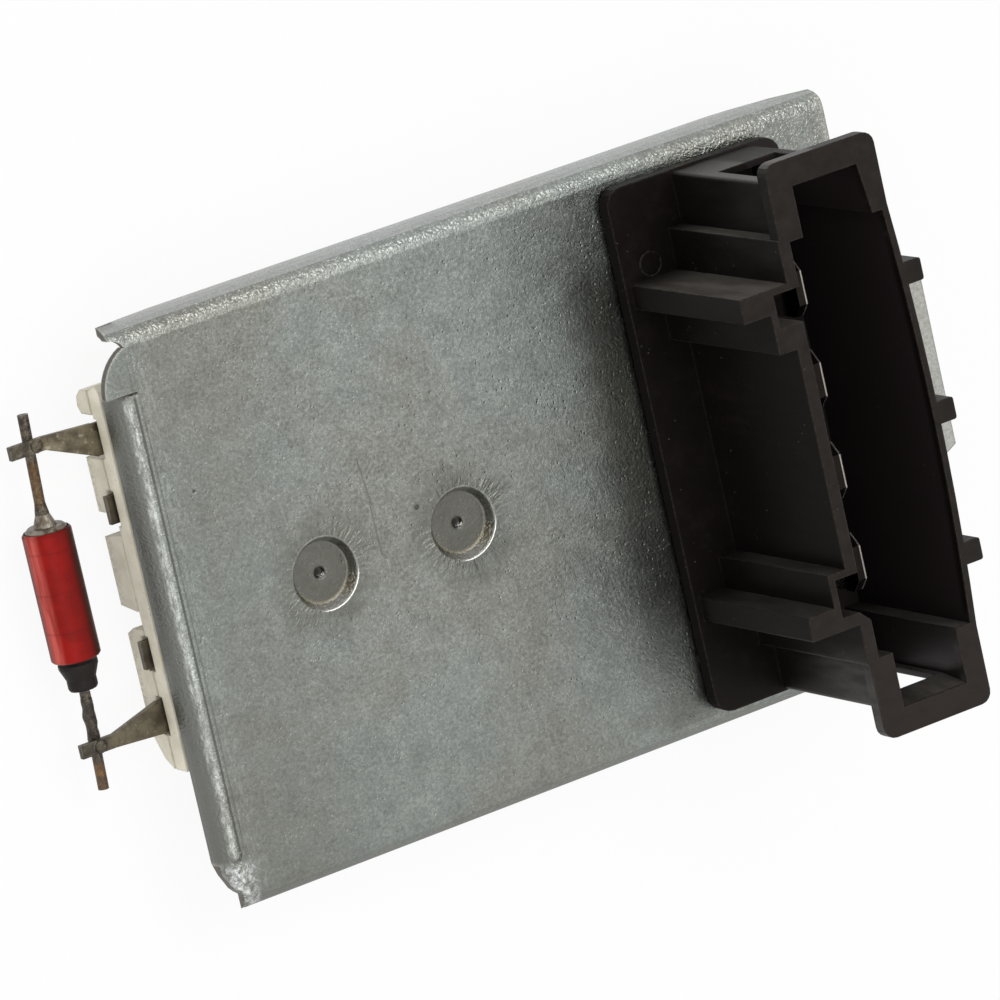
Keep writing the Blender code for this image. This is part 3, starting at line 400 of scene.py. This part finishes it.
def longBends(sheet):
    # the bends get a coarser crinkle in relief, with painted sparkle and a painted highlight band
    ny, bright = sheet.ny, sheetFinish["edgeBright"]
    onBend = sheet.between(ny, 0.06, 0.3) * sheet.between(sheet.z, *bendSet["topZ"])
    endBend = sheet.between(-sheet.nx, 0.1, 0.4) * sheet.between(sheet.x, *bendSet["endX"])
    farCorner = sheet.between(sheet.x, *bendSet["farX"]) * sheet.between(sheet.y, *bendSet["farY"])
    crinkle = sheet.cells(sheet.moved, 3.8).out("Distance")
    rippled = sheet.larger(sheet.larger(onBend, endBend * 1.2), farCorner)
    sheet.height = sheet.height + rippled * (crinkle - 0.3) * 0.85
    # painted sparkle and highlight band on the bend
    sheet.tint(onBend * sheet.between(crinkle, 0.45, 0.15) * 0.3, bright)
    shine = onBend * sheet.between(ny, 0.07, 0.2) * sheet.below(ny, 0.26, 0.42)
    sheet.tint(shine * sheet.between(crinkle, 0.5, 0.2) * 0.75, bright)
    sheet.tint(sheet.between(sheet.x, *bendSet["tongueX"]) * (0.1 + sheet.grain * 0.55), bright)
    # painted pale reflection on the far side of the bends
    sheet.tint(sheet.between(ny, 0.55, 0.9) * 0.55, bendSet["farSide"])
    sheet.tint(sheet.between(-ny, 0.3, 0.8) * 0.7, bendSet["nearSide"])
    lowSide = sheet.between(-ny, 0.6, 0.9)
    sheet.metal = sheet.metal - lowSide * 0.65
    sheet.rough = sheet.rough + lowSide * 0.35


foldSet = {
    "earSlit": (18.2, 18.6),  # the marks of the end fold fade out below the ear's slit
    "line": (-32.47, 0.0026),  # coined line beside the end bend: place and lean
    "secondLine": 0.42,
    "foot": (-33.2, -19.0, 0.72),  # its rounded foot: middle and radius
    "cornerX": (-32.0, -31.2),
    "cornerY": (-20.4, -19.5),
    "dull": (0.165, 0.168, 0.152),
    "stripe": (0.56, 0.58, 0.55),
    "lineDark": (0.055, 0.055, 0.05),
    "corner": (0.56, 0.58, 0.57),
}


def coinedLines(sheet):
    # 1 in the pressed line, in its rounded foot and in a fainter second line
    x, y = sheet.x, sheet.y
    place, lean = foldSet["line"]
    fromLine = sheet.size(x - place - y * lean)
    groove = sheet.below(fromLine + (sheet.grain - 0.5) * 0.1, 0.03, 0.17) * sheet.between(y, -19.1, -18.9)
    second = sheet.below(sheet.size(fromLine - foldSet["secondLine"]), 0.02, 0.13)
    second = second * sheet.between(x, -32.6, -32.2) * sheet.between(y, -18.2, -17.6) * 0.45
    groove = sheet.larger(groove, second)
    groove = groove * (1.0 - sheet.between(y, *foldSet["earSlit"]) * 0.7) * sheet.below(y, 21.6, 22.4)
    footX, footY, footRadius = foldSet["foot"]
    fromFoot = sheet.size(sheet.length(flat(sheet.spot) - (footX, footY, 0.0)) - footRadius)
    foot = sheet.below(fromFoot, 0.05, 0.19) * sheet.between(x, -33.3, -33.1)
    return sheet.larger(groove, foot * sheet.below(y, -19.1, -18.9))


def endFold(sheet):
    # dull outside with a painted dark reflection, a bright jagged stripe of painted highlight, coined line,
    # combed band beside it, bare zinc in the low corner
    x, y, grain = sheet.x, sheet.y, sheet.grain
    # painted dark reflection on the outside of the fold
    band = sheet.between(-sheet.nx, 0.36, 0.7) * sheet.between(x, -32.6, -33.1)
    band = band * sheet.below(y, 18.5, 18.8) * sheet.between(y, -20.1, -19.4)
    sheet.tint(band * 0.8, foldSet["dull"])
    sheet.rough = sheet.rough + band * 0.22
    streaks = sheet.noise(sheet.spot * (2.4, 0.7, 1.0), 1.3, 4.0, 0.7)
    # painted highlight stripe along the fold
    stripe = sheet.between(x + (streaks - 0.5) * 0.6, -33.4, -33.15) * sheet.below(x, -32.9, -32.7)
    stripe = stripe * sheet.between(y, -19.6, -19.0) * sheet.below(y, *foldSet["earSlit"])
    sheet.tint(stripe * (0.1 + sheet.between(streaks, 0.42, 0.62) * 0.5), foldSet["stripe"])
    groove = coinedLines(sheet)
    sheet.tint(groove * (0.35 + grain * 0.7), foldSet["lineDark"])
    sheet.height = sheet.height - groove * 0.8
    combedBand = sheet.between(x, -32.4, -31.6) * sheet.below(x, -31.0, -29.9) * sheet.onFace
    sheet.tint(combedBand * sheet.between(streaks, 0.46, 0.66) * 0.5, sheetFinish["pale"])
    sheet.height = sheet.height + combedBand * (streaks - 0.5) * 1.2
    corner = sheet.below(x + (sheet.patch - 0.5) * 1.4, *foldSet["cornerX"])
    corner = corner * sheet.below(y, *foldSet["cornerY"])
    spangle = sheet.between(sheet.noise(sheet.moved, 2.2, 4.0, 0.75), 0.36, 0.62)
    sheet.tint(corner * spangle * 0.85, foldSet["corner"])
    sheet.tint(corner * (1.0 - spangle) * 0.25, sheetFinish["dark"])


shearSet = {
    "leftOf": (-32.4, -31.9),
    "ear": (18.72, 18.86),
    "lowCorner": (-20.0, -19.8),
    "brown": (0.070, 0.046, 0.030),
}


def shearedEdges(sheet, soft):
    # cut edges at the ear, notch and low corner have rusted brown; every rounded edge gets a painted
    # highlight, brightest at the ear's burr
    left = sheet.below(sheet.x, *shearSet["leftOf"])
    atEar = left * sheet.between(sheet.y, *shearSet["ear"])
    atLow = left * sheet.below(sheet.y, *shearSet["lowCorner"])
    sheared = sheet.larger(atEar, atLow) * sheet.below(sheet.nz, 0.2, 0.5)
    rust = sheet.blend(sheet.noise(sheet.spot, 1.4, 4.0, 0.7), shearSet["brown"], seatMarks["floor"])
    sheet.tint(sheared * 0.9, rust)
    # painted highlight along the rounded edges
    edgeHighlight = sheet.between(sheet.edges(soft), 0.02, 0.25)
    sheet.tint(edgeHighlight * (0.12 + atEar * 0.6), sheetFinish["edgeBright"])
    sheet.metal = sheet.metal - sheared * 0.6
    sheet.rough = sheet.rough + sheared * 0.2


def galvanised(name):
    sheet = zincGround(name)
    sheet.metal = sheetFinish["metallic"]
    sheet.onFace = sheet.between(sheet.nz, 0.9, 0.98) * sheet.between(sheet.z, 8.2, 8.4)
    darkerLeftAndLow(sheet)
    pressedSeats(sheet)
    scratchesAndPits(sheet)
    paintedPlateShadow(sheet)
    longBends(sheet)
    endFold(sheet)
    soft = sheet.rounded(sheetFinish["edgeRadius"])
    shearedEdges(sheet, soft)
    return sheet.finish(
        Base_Color=sheet.colour, Metallic=sheet.metal, Roughness=sheet.rough,
        Normal=sheet.bump(sheet.height, sheetFinish["relief"], 0.75, soft),
    )


ceramicFinish = {
    "cream": (0.88, 0.83, 0.68),
    "shade": (0.71, 0.66, 0.52),
    "darkBrown": (0.20, 0.17, 0.12),
    "chip": (0.78, 0.75, 0.66),
    "darkerBelow": (0.9, 2.2),
    "roughness": 0.5,
    "relief": 0.06,
    "edgeRadius": 0.25,
}


def ceramic(name):
    board = newFinish(name)
    spot = board.spot
    soft = board.rounded(ceramicFinish["edgeRadius"])
    cloud = board.noise(spot, 0.35, 3.0)
    grain = board.noise(spot, 3.5, 3.0)
    crumbs = board.between(board.noise(spot, 2.4, 2.0), 0.68, 0.76)
    shaded = board.between(cloud, 0.35, 0.7)
    board.colour = board.blend(shaded, ceramicFinish["cream"], ceramicFinish["shade"])
    board.tint(crumbs * 0.35, ceramicFinish["darkBrown"])
    # darker towards the bottom
    low = board.below(board.z, *ceramicFinish["darkerBelow"]) * board.between(grain, 0.4, 0.62)
    board.tint(low * 0.35, ceramicFinish["darkBrown"])
    chipped = board.between(board.edges(soft), 0.03, 0.25) * board.between(grain, 0.42, 0.6)
    board.tint(chipped * 0.4, ceramicFinish["chip"])
    return board.finish(
        Base_Color=board.colour, Roughness=ceramicFinish["roughness"] + (grain - 0.5) * 0.3,
        Specular_IOR_Level=0.45,
        Normal=board.bump(grain * 0.6 + cloud * 0.4, ceramicFinish["relief"], 0.5, soft),
    )


stripFinish = {
    "khaki": (0.215, 0.185, 0.120),
    "brown": (0.085, 0.068, 0.045),
    "bright": (0.52, 0.49, 0.40),
    "burnt": (0.040, 0.034, 0.030),
    "sootAndShade": (0.045, 0.038, 0.030),
    "burntLeftOf": (-40.6, -38.2),  # heat of the weld at the tips
    "roughness": 0.42,
    "relief": 0.12,
    "edgeRadius": 0.12,
}


def tarnishedStrip(name, dark):
    board = newFinish(name)
    spot = board.spot
    soft = board.rounded(stripFinish["edgeRadius"])
    cloud = board.noise(spot, 0.55, 5.0, 0.65)
    grain = board.noise(spot, 4.0, 3.0)
    burnt = board.below(board.x + (cloud - 0.5) * 3.0, *stripFinish["burntLeftOf"])
    paler = board.between(cloud, 0.36, 0.62)
    board.colour = board.blend(paler, stripFinish["brown"], stripFinish["khaki"])
    board.tint(board.between(board.noise(spot, 1.6, 3.0), 0.6, 0.7) * 0.4, stripFinish["bright"])
    board.tint(burnt * (0.3 + cloud * 0.7), stripFinish["burnt"])
    board.tint(dark, stripFinish["sootAndShade"])
    # lighter edges, partly wear and partly a painted edge highlight
    worn = board.between(board.edges(soft), 0.03, 0.22) * board.between(cloud, 0.4, 0.55)
    board.tint(worn * 0.4, stripFinish["bright"])
    lumps = board.cells(spot + (cloud - 0.5) * (1.0, 1.0, 1.0), 1.6).out("Distance")
    relief = grain * 0.3 + cloud * 0.5 - burnt * lumps * 1.2
    return board.finish(
        Base_Color=board.colour, Metallic=0.75, Roughness=stripFinish["roughness"] + (cloud - 0.5) * 0.3,
        Normal=board.bump(relief, stripFinish["relief"], 0.6, soft),
    )


sleeveFinish = {
    "axisX": -39.67,
    "axisZ": 2.61,
    "red": (0.300, 0.0080, 0.0055),
    "deep": (0.115, 0.0060, 0.0048),
    "scuffed": (0.40, 0.03, 0.022),
    "highlightPink": (0.66, 0.13, 0.105),
    "grime": (0.03, 0.008, 0.006),
    "sootAndShade": (0.028, 0.012, 0.009),
    "highEnd": (8.9, 9.5),
    "lowEnd": (-1.2, -0.7),
    "rings": (7.9, 4.6, 1.4),
    "relief": 0.1,
}


def redSleeve(name):
    board = newFinish(name)
    spot, y = board.spot, board.y
    # the sleeve is a polygon, so its light and marks follow the direction away from its axis
    axis = (sleeveFinish["axisX"], 0.0, sleeveFinish["axisZ"])
    outward = board.vector("NORMALIZE", n0=spot * (1.0, 0.0, 1.0) - axis)
    outX, _, outZ = board.split(outward)
    roundNormal = board.blend(board.between(board.size(board.ny), 0.3, 0.5), outward, board.plainNormal)
    cloud = board.noise(spot, 0.5, 3.0)
    runs = board.noise(spot * (3.0, 0.25, 3.0), 1.0, 4.0, 0.6)
    scuff = board.between(board.noise(spot * (2.2, 0.5, 2.2), 1.2, 5.0, 0.7), 0.6, 0.7)
    deeper = board.between(cloud, 0.35, 0.65) * 0.45
    board.colour = board.blend(deeper, sleeveFinish["red"], sleeveFinish["deep"])
    board.tint(scuff * 0.3, sleeveFinish["scuffed"])
    board.tint(board.between(runs, 0.6, 0.72) * 0.35, sleeveFinish["grime"])
    # painted shade, darker towards the right side
    board.tint(board.between(outX, -0.5, 0.6) * 0.8, sleeveFinish["deep"])
    # painted highlight along the left side
    leftHighlight = board.between(-outX, 0.72, 0.95) * (0.35 + board.between(runs, 0.35, 0.6) * 0.45)
    board.tint(leftHighlight, sleeveFinish["highlightPink"])
    # painted shade on the right side and underside
    rightShade = board.larger(board.between(outX, 0.2, 0.62), board.between(-outZ, -0.3, 0.35))
    board.tint(rightShade * 0.9, sleeveFinish["sootAndShade"])
    ends = board.larger(board.between(y, *sleeveFinish["highEnd"]), board.below(y, *sleeveFinish["lowEnd"]))
    board.tint(ends * 0.3, sleeveFinish["deep"])
    for ringAt in sleeveFinish["rings"]:
        ring = board.below(board.size(y - ringAt + (cloud - 0.5) * 0.3), 0.03, 0.14)
        board.tint(ring * 0.25, sleeveFinish["deep"])
    return board.finish(
        Base_Color=board.colour, Roughness=0.40 + scuff * 0.15 + (cloud - 0.5) * 0.1,
        Specular_IOR_Level=0.10,
        Normal=board.bump(cloud * 0.8 + runs * 0.2, sleeveFinish["relief"], 0.35, roundNormal),
    )


canFinish = {"metal": (0.27, 0.245, 0.205), "stain": (0.10, 0.075, 0.05), "relief": 0.1}


def dullCan(name):
    board = newFinish(name)
    cloud = board.noise(board.spot, 0.9, 5.0, 0.65)
    colour = board.blend(board.between(cloud, 0.4, 0.62), canFinish["stain"], canFinish["metal"])
    return board.finish(
        Base_Color=colour, Metallic=0.8, Roughness=0.42 + (cloud - 0.5) * 0.3,
        Normal=board.bump(cloud, canFinish["relief"], 0.5),
    )


resinFinish = {"dark": (0.0085, 0.0068, 0.0060), "pale": (0.021, 0.017, 0.015), "relief": 0.1}


def sealResin(name):
    board = newFinish(name)
    cloud = board.noise(board.spot, 0.8, 4.0, 0.6)
    return board.finish(
        Base_Color=board.blend(cloud, resinFinish["dark"], resinFinish["pale"]),
        Roughness=0.5 + (cloud - 0.5) * 0.2, Specular_IOR_Level=0.14,
        Normal=board.bump(board.noise(board.spot, 2.0, 3.0), resinFinish["relief"], 0.4),
    )


leadFinish = {
    "metal": (0.135, 0.115, 0.085),
    "dark": (0.045, 0.037, 0.031),
    "glint": (0.30, 0.27, 0.21),
    "amber": (0.20, 0.095, 0.022),
    "amberDark": (0.075, 0.042, 0.018),
    "fluxBelow": (-10.1, -9.2),  # solder flux browned the low end
    "sootBelow": (-5.5, -3.5),
    "golden": ((11.0, 12.0), (14.5, 15.5)),  # a warm stretch above the cone: from, to
    "relief": 0.28,
}


def leadWire(name):
    board = newFinish(name)
    y = board.y
    cloud = board.noise(board.spot, 1.1, 5.0, 0.75)
    grain = board.noise(board.spot, 3.5, 3.0)
    fluxed = board.below(y + (cloud - 0.5) * 2.0, *leadFinish["fluxBelow"])
    board.colour = board.blend(board.between(cloud, 0.42, 0.6), leadFinish["dark"], leadFinish["metal"])
    board.tint(board.between(grain, 0.62, 0.75) * 0.5, leadFinish["glint"])
    board.tint(board.below(y, *leadFinish["sootBelow"]) * 0.5, leadFinish["dark"])
    amber = board.blend(board.between(cloud, 0.42, 0.56), leadFinish["amber"], leadFinish["amberDark"])
    board.tint(fluxed * board.between(grain, 0.25, 0.5) * 0.9, amber)
    goldenFrom, goldenTo = leadFinish["golden"]
    board.tint(board.between(y, *goldenFrom) * board.below(y, *goldenTo) * 0.35, leadFinish["amber"])
    return board.finish(
        Base_Color=board.colour, Metallic=0.8 - fluxed * 0.5, Roughness=0.4 + (cloud - 0.5) * 0.3,
        Normal=board.bump(cloud, leadFinish["relief"], 0.7),
    )


mouldingFinish = {
    "black": (0.0050, 0.0034, 0.0034),
    "grey": (0.0095, 0.0074, 0.0062),
    "rim": (0.0205, 0.0165, 0.0140),
    "paintedSheen": (0.135, 0.124, 0.111),
    "inside": (0.017, 0.0125, 0.0135),
    "edge": (0.16, 0.145, 0.125),
    "dust": (0.20, 0.18, 0.15),
    "glossTint": (1.0, 0.93, 0.87),
    "roughness": 0.42,
    "relief": 0.08,
    "edgeRadius": 0.22,
    "cornerReach": 0.6,  # how far the look into inner corners goes
    "ejector": (14.26, 15.37, 1.0),  # faint ring on the plate: middle and radius
    "plateTop": (10.0, 10.4),
    "shroudX": (21.0, 22.0),  # the shroud's walls stand right of this
    "rimZ": (25.9, 26.1),
}


def mouldingSheen(board, grain, flow):
    # painted pale sheen on the upward faces and under the rim flange
    x, y, z = board.x, board.y, board.z
    onShroud = board.between(x, *mouldingFinish["shroudX"])
    paintedSheen = board.between(board.ny, 0.5, 0.95) * board.between(z, 8.0, 17.0)
    paintedSheen = paintedSheen * (0.3 + grain * 0.5 + (flow - 0.5))
    paintedSheen = paintedSheen * (0.45 + board.between(y, 0.0, 10.0) * 0.55)
    paintedSheen = paintedSheen * (1.0 - onShroud * board.between(y, -17.0, -15.0))
    paintedSheen = paintedSheen * (1.0 + onShroud * 0.8)
    under = board.below(y, -19.0, -15.5) * 0.34 + board.between(y, 12.0, 16.0) * 0.05
    under = under * board.between(-board.nx, 0.5, 0.9) * board.between(z, 11.0, 24.0)
    under = under * (0.3 + board.between(flow, 0.35, 0.65))
    # painted sheen
    board.tint(board.larger(paintedSheen, under), mouldingFinish["paintedSheen"])


def mouldingInside(board):
    # the far wall and the floor of the shroud reflect their surroundings a little
    x, z = board.x, board.z
    wall = board.between(-board.nx, 0.5, 0.8) * board.between(x, 23.6, 24.0)
    bottom = board.between(board.nz, 0.5, 0.8) * board.between(x, 21.5, 22.0)
    inside = board.larger(wall, bottom) * board.below(z, 25.0, 25.8) * board.below(x, 30.2, 30.6)
    board.tint(inside, mouldingFinish["inside"])


def mouldingWearAndSheen(board, soft, grain, cloud, flow):
    # painted paler sheen on the rim, worn edges partly painted as edge highlight, dust, the ejector's ring and
    # scuffs; returns ring and scuffs
    spot, edge = board.spot, mouldingFinish["edge"]
    paler = 0.55 + (flow - 0.5) * 1.2 + board.between(-board.y, 8.0, 22.0) * 0.45
    # painted paler sheen on the rim, stronger towards the low side
    board.tint(board.between(board.z, *mouldingFinish["rimZ"]) * paler, mouldingFinish["rim"])
    # lighter edges, partly wear and partly a painted edge highlight
    worn = board.between(board.edges(soft), 0.03, 0.3) * board.between(grain, 0.4, 0.62)
    board.tint(worn * 0.3, edge)
    dust = board.below(board.cells(spot, 1.3).out("Distance"), 0.05, 0.12)
    dust = dust * board.between(board.noise(spot, 0.3, 2.0), 0.55, 0.64)
    board.tint(dust * 0.4, mouldingFinish["dust"])
    ringX, ringY, radius = mouldingFinish["ejector"]
    away = board.length(flat(spot) - (ringX, ringY, 0.0))
    ring = board.between(away, radius - 0.16, radius - 0.05) * board.below(away, radius, radius + 0.1)
    ring = ring * board.between(board.nz, 0.6, 0.9) * board.below(board.z, 10.4, 10.8)
    board.tint(ring * board.between(cloud + grain, 0.9, 1.1) * 0.14, edge)
    scuffs = board.between(board.noise(spot * (1.0, 1.0, 3.0), 0.9, 5.0, 0.7), 0.64, 0.74)
    board.tint(scuffs * 0.08, edge)
    return ring, scuffs


def blackMoulding(name):
    board = newFinish(name)
    spot = board.spot
    openness = board.add(
        "ShaderNodeAmbientOcclusion", {"samples": 4, "only_local": True},
        Distance=mouldingFinish["cornerReach"] * mm,
    )
    outer = board.between(openness.out("AO"), 0.62, 0.9)  # 0 in inner corners, which stay sharp and dark
    soft = board.blend(outer, board.plainNormal, board.rounded(mouldingFinish["edgeRadius"]))
    cloud = board.noise(spot, 0.16, 3.0)
    grain = board.noise(spot, 3.2, 3.0, 0.6)
    flow = board.noise(spot * (0.5, 0.5, 0.12), 1.3, 4.0, 0.6)
    greyer = board.between(flow, 0.5, 0.75) * 0.5
    board.colour = board.blend(greyer, mouldingFinish["black"], mouldingFinish["grey"])
    mouldingSheen(board, grain, flow)
    mouldingInside(board)
    ring, scuffs = mouldingWearAndSheen(board, soft, grain, cloud, flow)
    plateSide = board.between(-board.nx, 0.3, 0.8) * board.below(board.z, *mouldingFinish["plateTop"])
    rough = mouldingFinish["roughness"] + (flow - 0.5) * 0.25 + scuffs * 0.1 + plateSide * 0.4
    relief = grain * 0.3 + cloud * 0.8 - ring * 0.8
    return board.finish(
        Base_Color=board.colour, Roughness=rough, Specular_IOR_Level=0.13,
        Specular_Tint=mouldingFinish["glossTint"],
        Normal=board.bump(relief, mouldingFinish["relief"], 0.5, soft),
    )


bladeFinish = {
    "dull": (0.010, 0.008, 0.007),
    "worn": (0.030, 0.025, 0.022),
    "bright": (0.72, 0.66, 0.60),
    "ridgeX": (22.32, 22.42),  # the tips are painted dark as shade and dark reflection, all but a thin line at the far edge; all below the tip is bright
    "tipZ": (16.0, 17.0),
    "relief": 0.04,
    "edgeRadius": 0.12,
}


def tinnedBlade(name):
    board = newFinish(name)
    soft = board.rounded(bladeFinish["edgeRadius"])
    cloud = board.noise(board.spot * (1.0, 1.0, 0.3), 0.8, 4.0)
    ridge = board.between(board.x, *bladeFinish["ridgeX"])
    shank = board.below(board.z, *bladeFinish["tipZ"])
    # painted shade and dark reflection over the blade, mottled
    board.colour = board.blend(cloud, bladeFinish["dull"], bladeFinish["worn"])
    board.tint(board.larger(ridge, shank), bladeFinish["bright"])
    return board.finish(
        Base_Color=board.colour, Metallic=0.95, Roughness=0.3 + (cloud - 0.5) * 0.2,
        Normal=board.bump(cloud, bladeFinish["relief"], 0.5, soft),
    )


coilFinish = {"dark": (0.16, 0.13, 0.11), "pale": (0.30, 0.26, 0.23), "relief": 0.05}


def coilWire(name):
    board = newFinish(name)
    cloud = board.noise(board.spot, 0.6, 4.0)
    return board.finish(
        Base_Color=board.blend(cloud, coilFinish["dark"], coilFinish["pale"]), Metallic=0.9,
        Roughness=0.38 + (cloud - 0.5) * 0.2, Normal=board.bump(cloud, coilFinish["relief"], 0.5),
    )


def dress(material, *names):
    for name in names:
        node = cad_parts[name]
        node.data.materials.clear()
        node.data.materials.append(material)


dress(galvanised("galvanisedSheet"), "front_casing")
dress(plainZinc("galvanisedRear"), "rear_casing", "clamp_rivet_1", "clamp_rivet_2")
dress(ceramic("creamCeramic"), "carrier_front", "carrier_rear")
dress(tarnishedStrip("upperArm", dark=0.1), "fuse_arm_upper")
dress(tarnishedStrip("lowerArm", dark=0.42), "fuse_arm_lower")
dress(tarnishedStrip("linkStrip", dark=0.6), "link_strip")
dress(redSleeve("redSleeve"), "fuse_sleeve")
dress(dullCan("dullCan"), "fuse_case")
dress(sealResin("sealResin"), "fuse_seal")
wireLook = leadWire("leadWire")
dress(wireLook, "fuse_lead_upper", "fuse_lead_lower")
dress(blackMoulding("blackMoulding"), "connector_housing")
dress(tinnedBlade("tinnedBlade"), "terminal_1", "terminal_2", "terminal_3", "terminal_4")
dress(coilWire("coilWire"), "resistor_coil_low", "resistor_coil_mid", "resistor_coil_high")
print("materials dressed")

leadSkinSet = {
    "middle": -39.67,
    "lean": 0.0437,  # sideways run of the leads outside the fuse, per millimetre
    "sides": 20,
}
leadHeight = sum(corner.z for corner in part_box("fuse_lead_lower")) / 2.0 / mm


def leadRing(shape, y, run, radiusAt):
    # one ring of points around a lead's axis, run millimetres from where it starts to lean
    sides = leadSkinSet["sides"]
    middle = leadSkinSet["middle"] + leadSkinSet["lean"] * run
    ring = []
    for index in range(sides):
        turn = 2.0 * math.pi * index / sides
        radius = radiusAt(turn)
        ring.append(shape.verts.new((
            (originX + middle + radius * math.cos(turn)) * mm, (originY + y) * mm,
            (leadHeight + radius * math.sin(turn)) * mm,
        )))
    return ring


def closeSkin(shape, rings, name):
    sides = leadSkinSet["sides"]
    for low, high in zip(rings, rings[1:]):
        for index in range(sides):
            after = (index + 1) % sides
            shape.faces.new((low[index], high[index], high[after], low[after]))
    shape.faces.new(rings[0])
    shape.faces.new(list(reversed(rings[-1])))
    bmesh.ops.recalc_face_normals(shape, faces=shape.faces)
    mesh = bpy.data.meshes.new(name)
    shape.to_mesh(mesh)
    shape.free()
    mesh.shade_smooth()
    mesh.materials.append(wireLook)
    piece = bpy.data.objects.new(name, mesh)
    bpy.context.scene.collection.objects.link(piece)
    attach(piece, "root")


neckSet = {
    "pivot": 11.1,
    "rings": ((10.55, 0.56), (10.75, 0.585), (11.0, 0.55), (11.25, 0.50), (11.6, 0.45)),  # place, radius
}


def makeNeck():
    # bead of metal where the upper lead leaves the cone
    shape = bmesh.new()
    rings = []
    for y, radius in neckSet["rings"]:
        run = max(0.0, y - neckSet["pivot"])
        rings.append(leadRing(shape, y, run, lambda turn, radius=radius: radius))
    closeSkin(shape, rings, "fuseNeck")


solderSet = {
    "pivot": -3.95,
    "low": -8.5,
    "high": -4.4,
    "step": 0.15,
    "radius": 0.45,
    "lump": 0.13,
    "seed": 4.0,
}


def solderRadius(turn, y):
    # the lumps swell in the middle and fade out at both ends
    share = (y - solderSet["low"]) / (solderSet["high"] - solderSet["low"])
    swell = math.sin(math.pi * share) ** 0.5 if 0.0 < share < 1.0 else 0.0
    spot = Vector((math.cos(turn) * 0.7, y * 1.3, math.sin(turn) * 0.7 + solderSet["seed"]))
    return solderSet["radius"] + swell * solderSet["lump"] * (0.45 + noise.noise(spot * 1.2))


def makeSolder():
    # lumpy solder on the lower lead above its weld
    shape = bmesh.new()
    rings = []
    y = solderSet["low"]
    while y < solderSet["high"]:
        rings.append(leadRing(shape, y, y - solderSet["pivot"], lambda turn, y=y: solderRadius(turn, y)))
        y += solderSet["step"]
    closeSkin(shape, rings, "lowerSolder")


makeNeck()
makeSolder()
print("lead neck and solder made")

white = (1.0, 1.0, 1.0)
floorSet = {"size": 3.0, "drop": 0.4, "colour": (0.82, 0.82, 0.82), "shadowShare": 0.08}


def seenDirectly(board):
    path = board.add("ShaderNodeLightPath")
    seen = board.larger(path.out("Is Camera Ray"), path.out("Is Glossy Ray"))
    return board.larger(seen, path.out("Is Transmission Ray"))


def floorLook():
    # mostly plain white where the camera looks, with a share of the real shadow
    board = Board(bpy.data.materials.new("paleFloor"))
    material = board.finish(Base_Color=floorSet["colour"], Roughness=0.9)
    shaded = Wire(board, board.tree.nodes["Principled BSDF"].outputs[0])
    glow = board.add("ShaderNodeEmission", Color=white, Strength=1.0)
    share = seenDirectly(board) * (1.0 - floorSet["shadowShare"])
    mixed = board.add("ShaderNodeMixShader", n0=share, n1=shaded, n2=glow)
    board.connect(board.tree.nodes["Material Output"].inputs["Surface"], mixed)
    return material


def makeFloor():
    shape = bmesh.new()
    bmesh.ops.create_grid(shape, x_segments=1, y_segments=1, size=floorSet["size"])
    mesh = bpy.data.meshes.new("floor")
    shape.to_mesh(mesh)
    shape.free()
    mesh.materials.append(floorLook())
    floor = bpy.data.objects.new("floor", mesh)
    floor.location.z = -floorSet["drop"] * mm
    bpy.context.scene.collection.objects.link(floor)


studioSet = {
    "ambient": 0.74,
    "lamps": {  # direction from the part, distance, size, power
        "keyLamp": ((0.12, 0.33, 0.93), 0.55, 0.34, 1.0),
        "sideLamp": ((-0.50, -0.25, 0.83), 0.60, 0.34, 0.44),
    },
}


def makeWorld():
    # white where it is seen, a little dimmer as a lamp
    world = bpy.data.worlds.new("studio")
    bpy.context.scene.world = world
    board = Board(world)
    background = board.tree.nodes["Background"]
    ambient = studioSet["ambient"]
    board.connect(background.inputs["Strength"], ambient + seenDirectly(board) * (1.0 - ambient))
    board.connect(background.inputs["Color"], white)


def makeLamps():
    for name, (direction, distance, size, power) in studioSet["lamps"].items():
        lamp = bpy.data.lights.new(name, "AREA")
        lamp.shape = "DISK"
        lamp.size = size
        lamp.energy = power
        holder = bpy.data.objects.new(name, lamp)
        bpy.context.scene.collection.objects.link(holder)
        away = Vector(direction).normalized()
        holder.location = away * distance
        holder.rotation_euler = away.to_track_quat("Z", "Y").to_euler()


cameraSet = {
    "lens": 302.4,
    "sensor": 36.0,
    "nearest": 0.01,
    "farthest": 10.0,
    "place": (-314.8, 156.3, 578.4),  # drawing millimetres
    "right": (0.83117313, -0.21405999, 0.51315645),
    "up": (0.30211071, 0.94866585, -0.09360673),
    "back": (-0.46677655, 0.23283346, 0.85317538),
}


def makeCamera():
    camera = bpy.data.cameras.new("photoCamera")
    camera.lens = cameraSet["lens"]
    camera.sensor_width = cameraSet["sensor"]
    camera.clip_start = cameraSet["nearest"]
    camera.clip_end = cameraSet["farthest"]
    holder = bpy.data.objects.new("photoCamera", camera)
    bpy.context.scene.collection.objects.link(holder)
    turn = Matrix((cameraSet["right"], cameraSet["up"], cameraSet["back"])).transposed().to_4x4()
    turn.translation = (Vector(cameraSet["place"]) + Vector((originX, originY, 0.0))) * mm
    holder.matrix_world = turn
    bpy.context.scene.camera = holder


makeFloor()
makeWorld()
makeLamps()
makeCamera()
bpy.context.scene.view_settings.view_transform = "Standard"
print("studio ready")
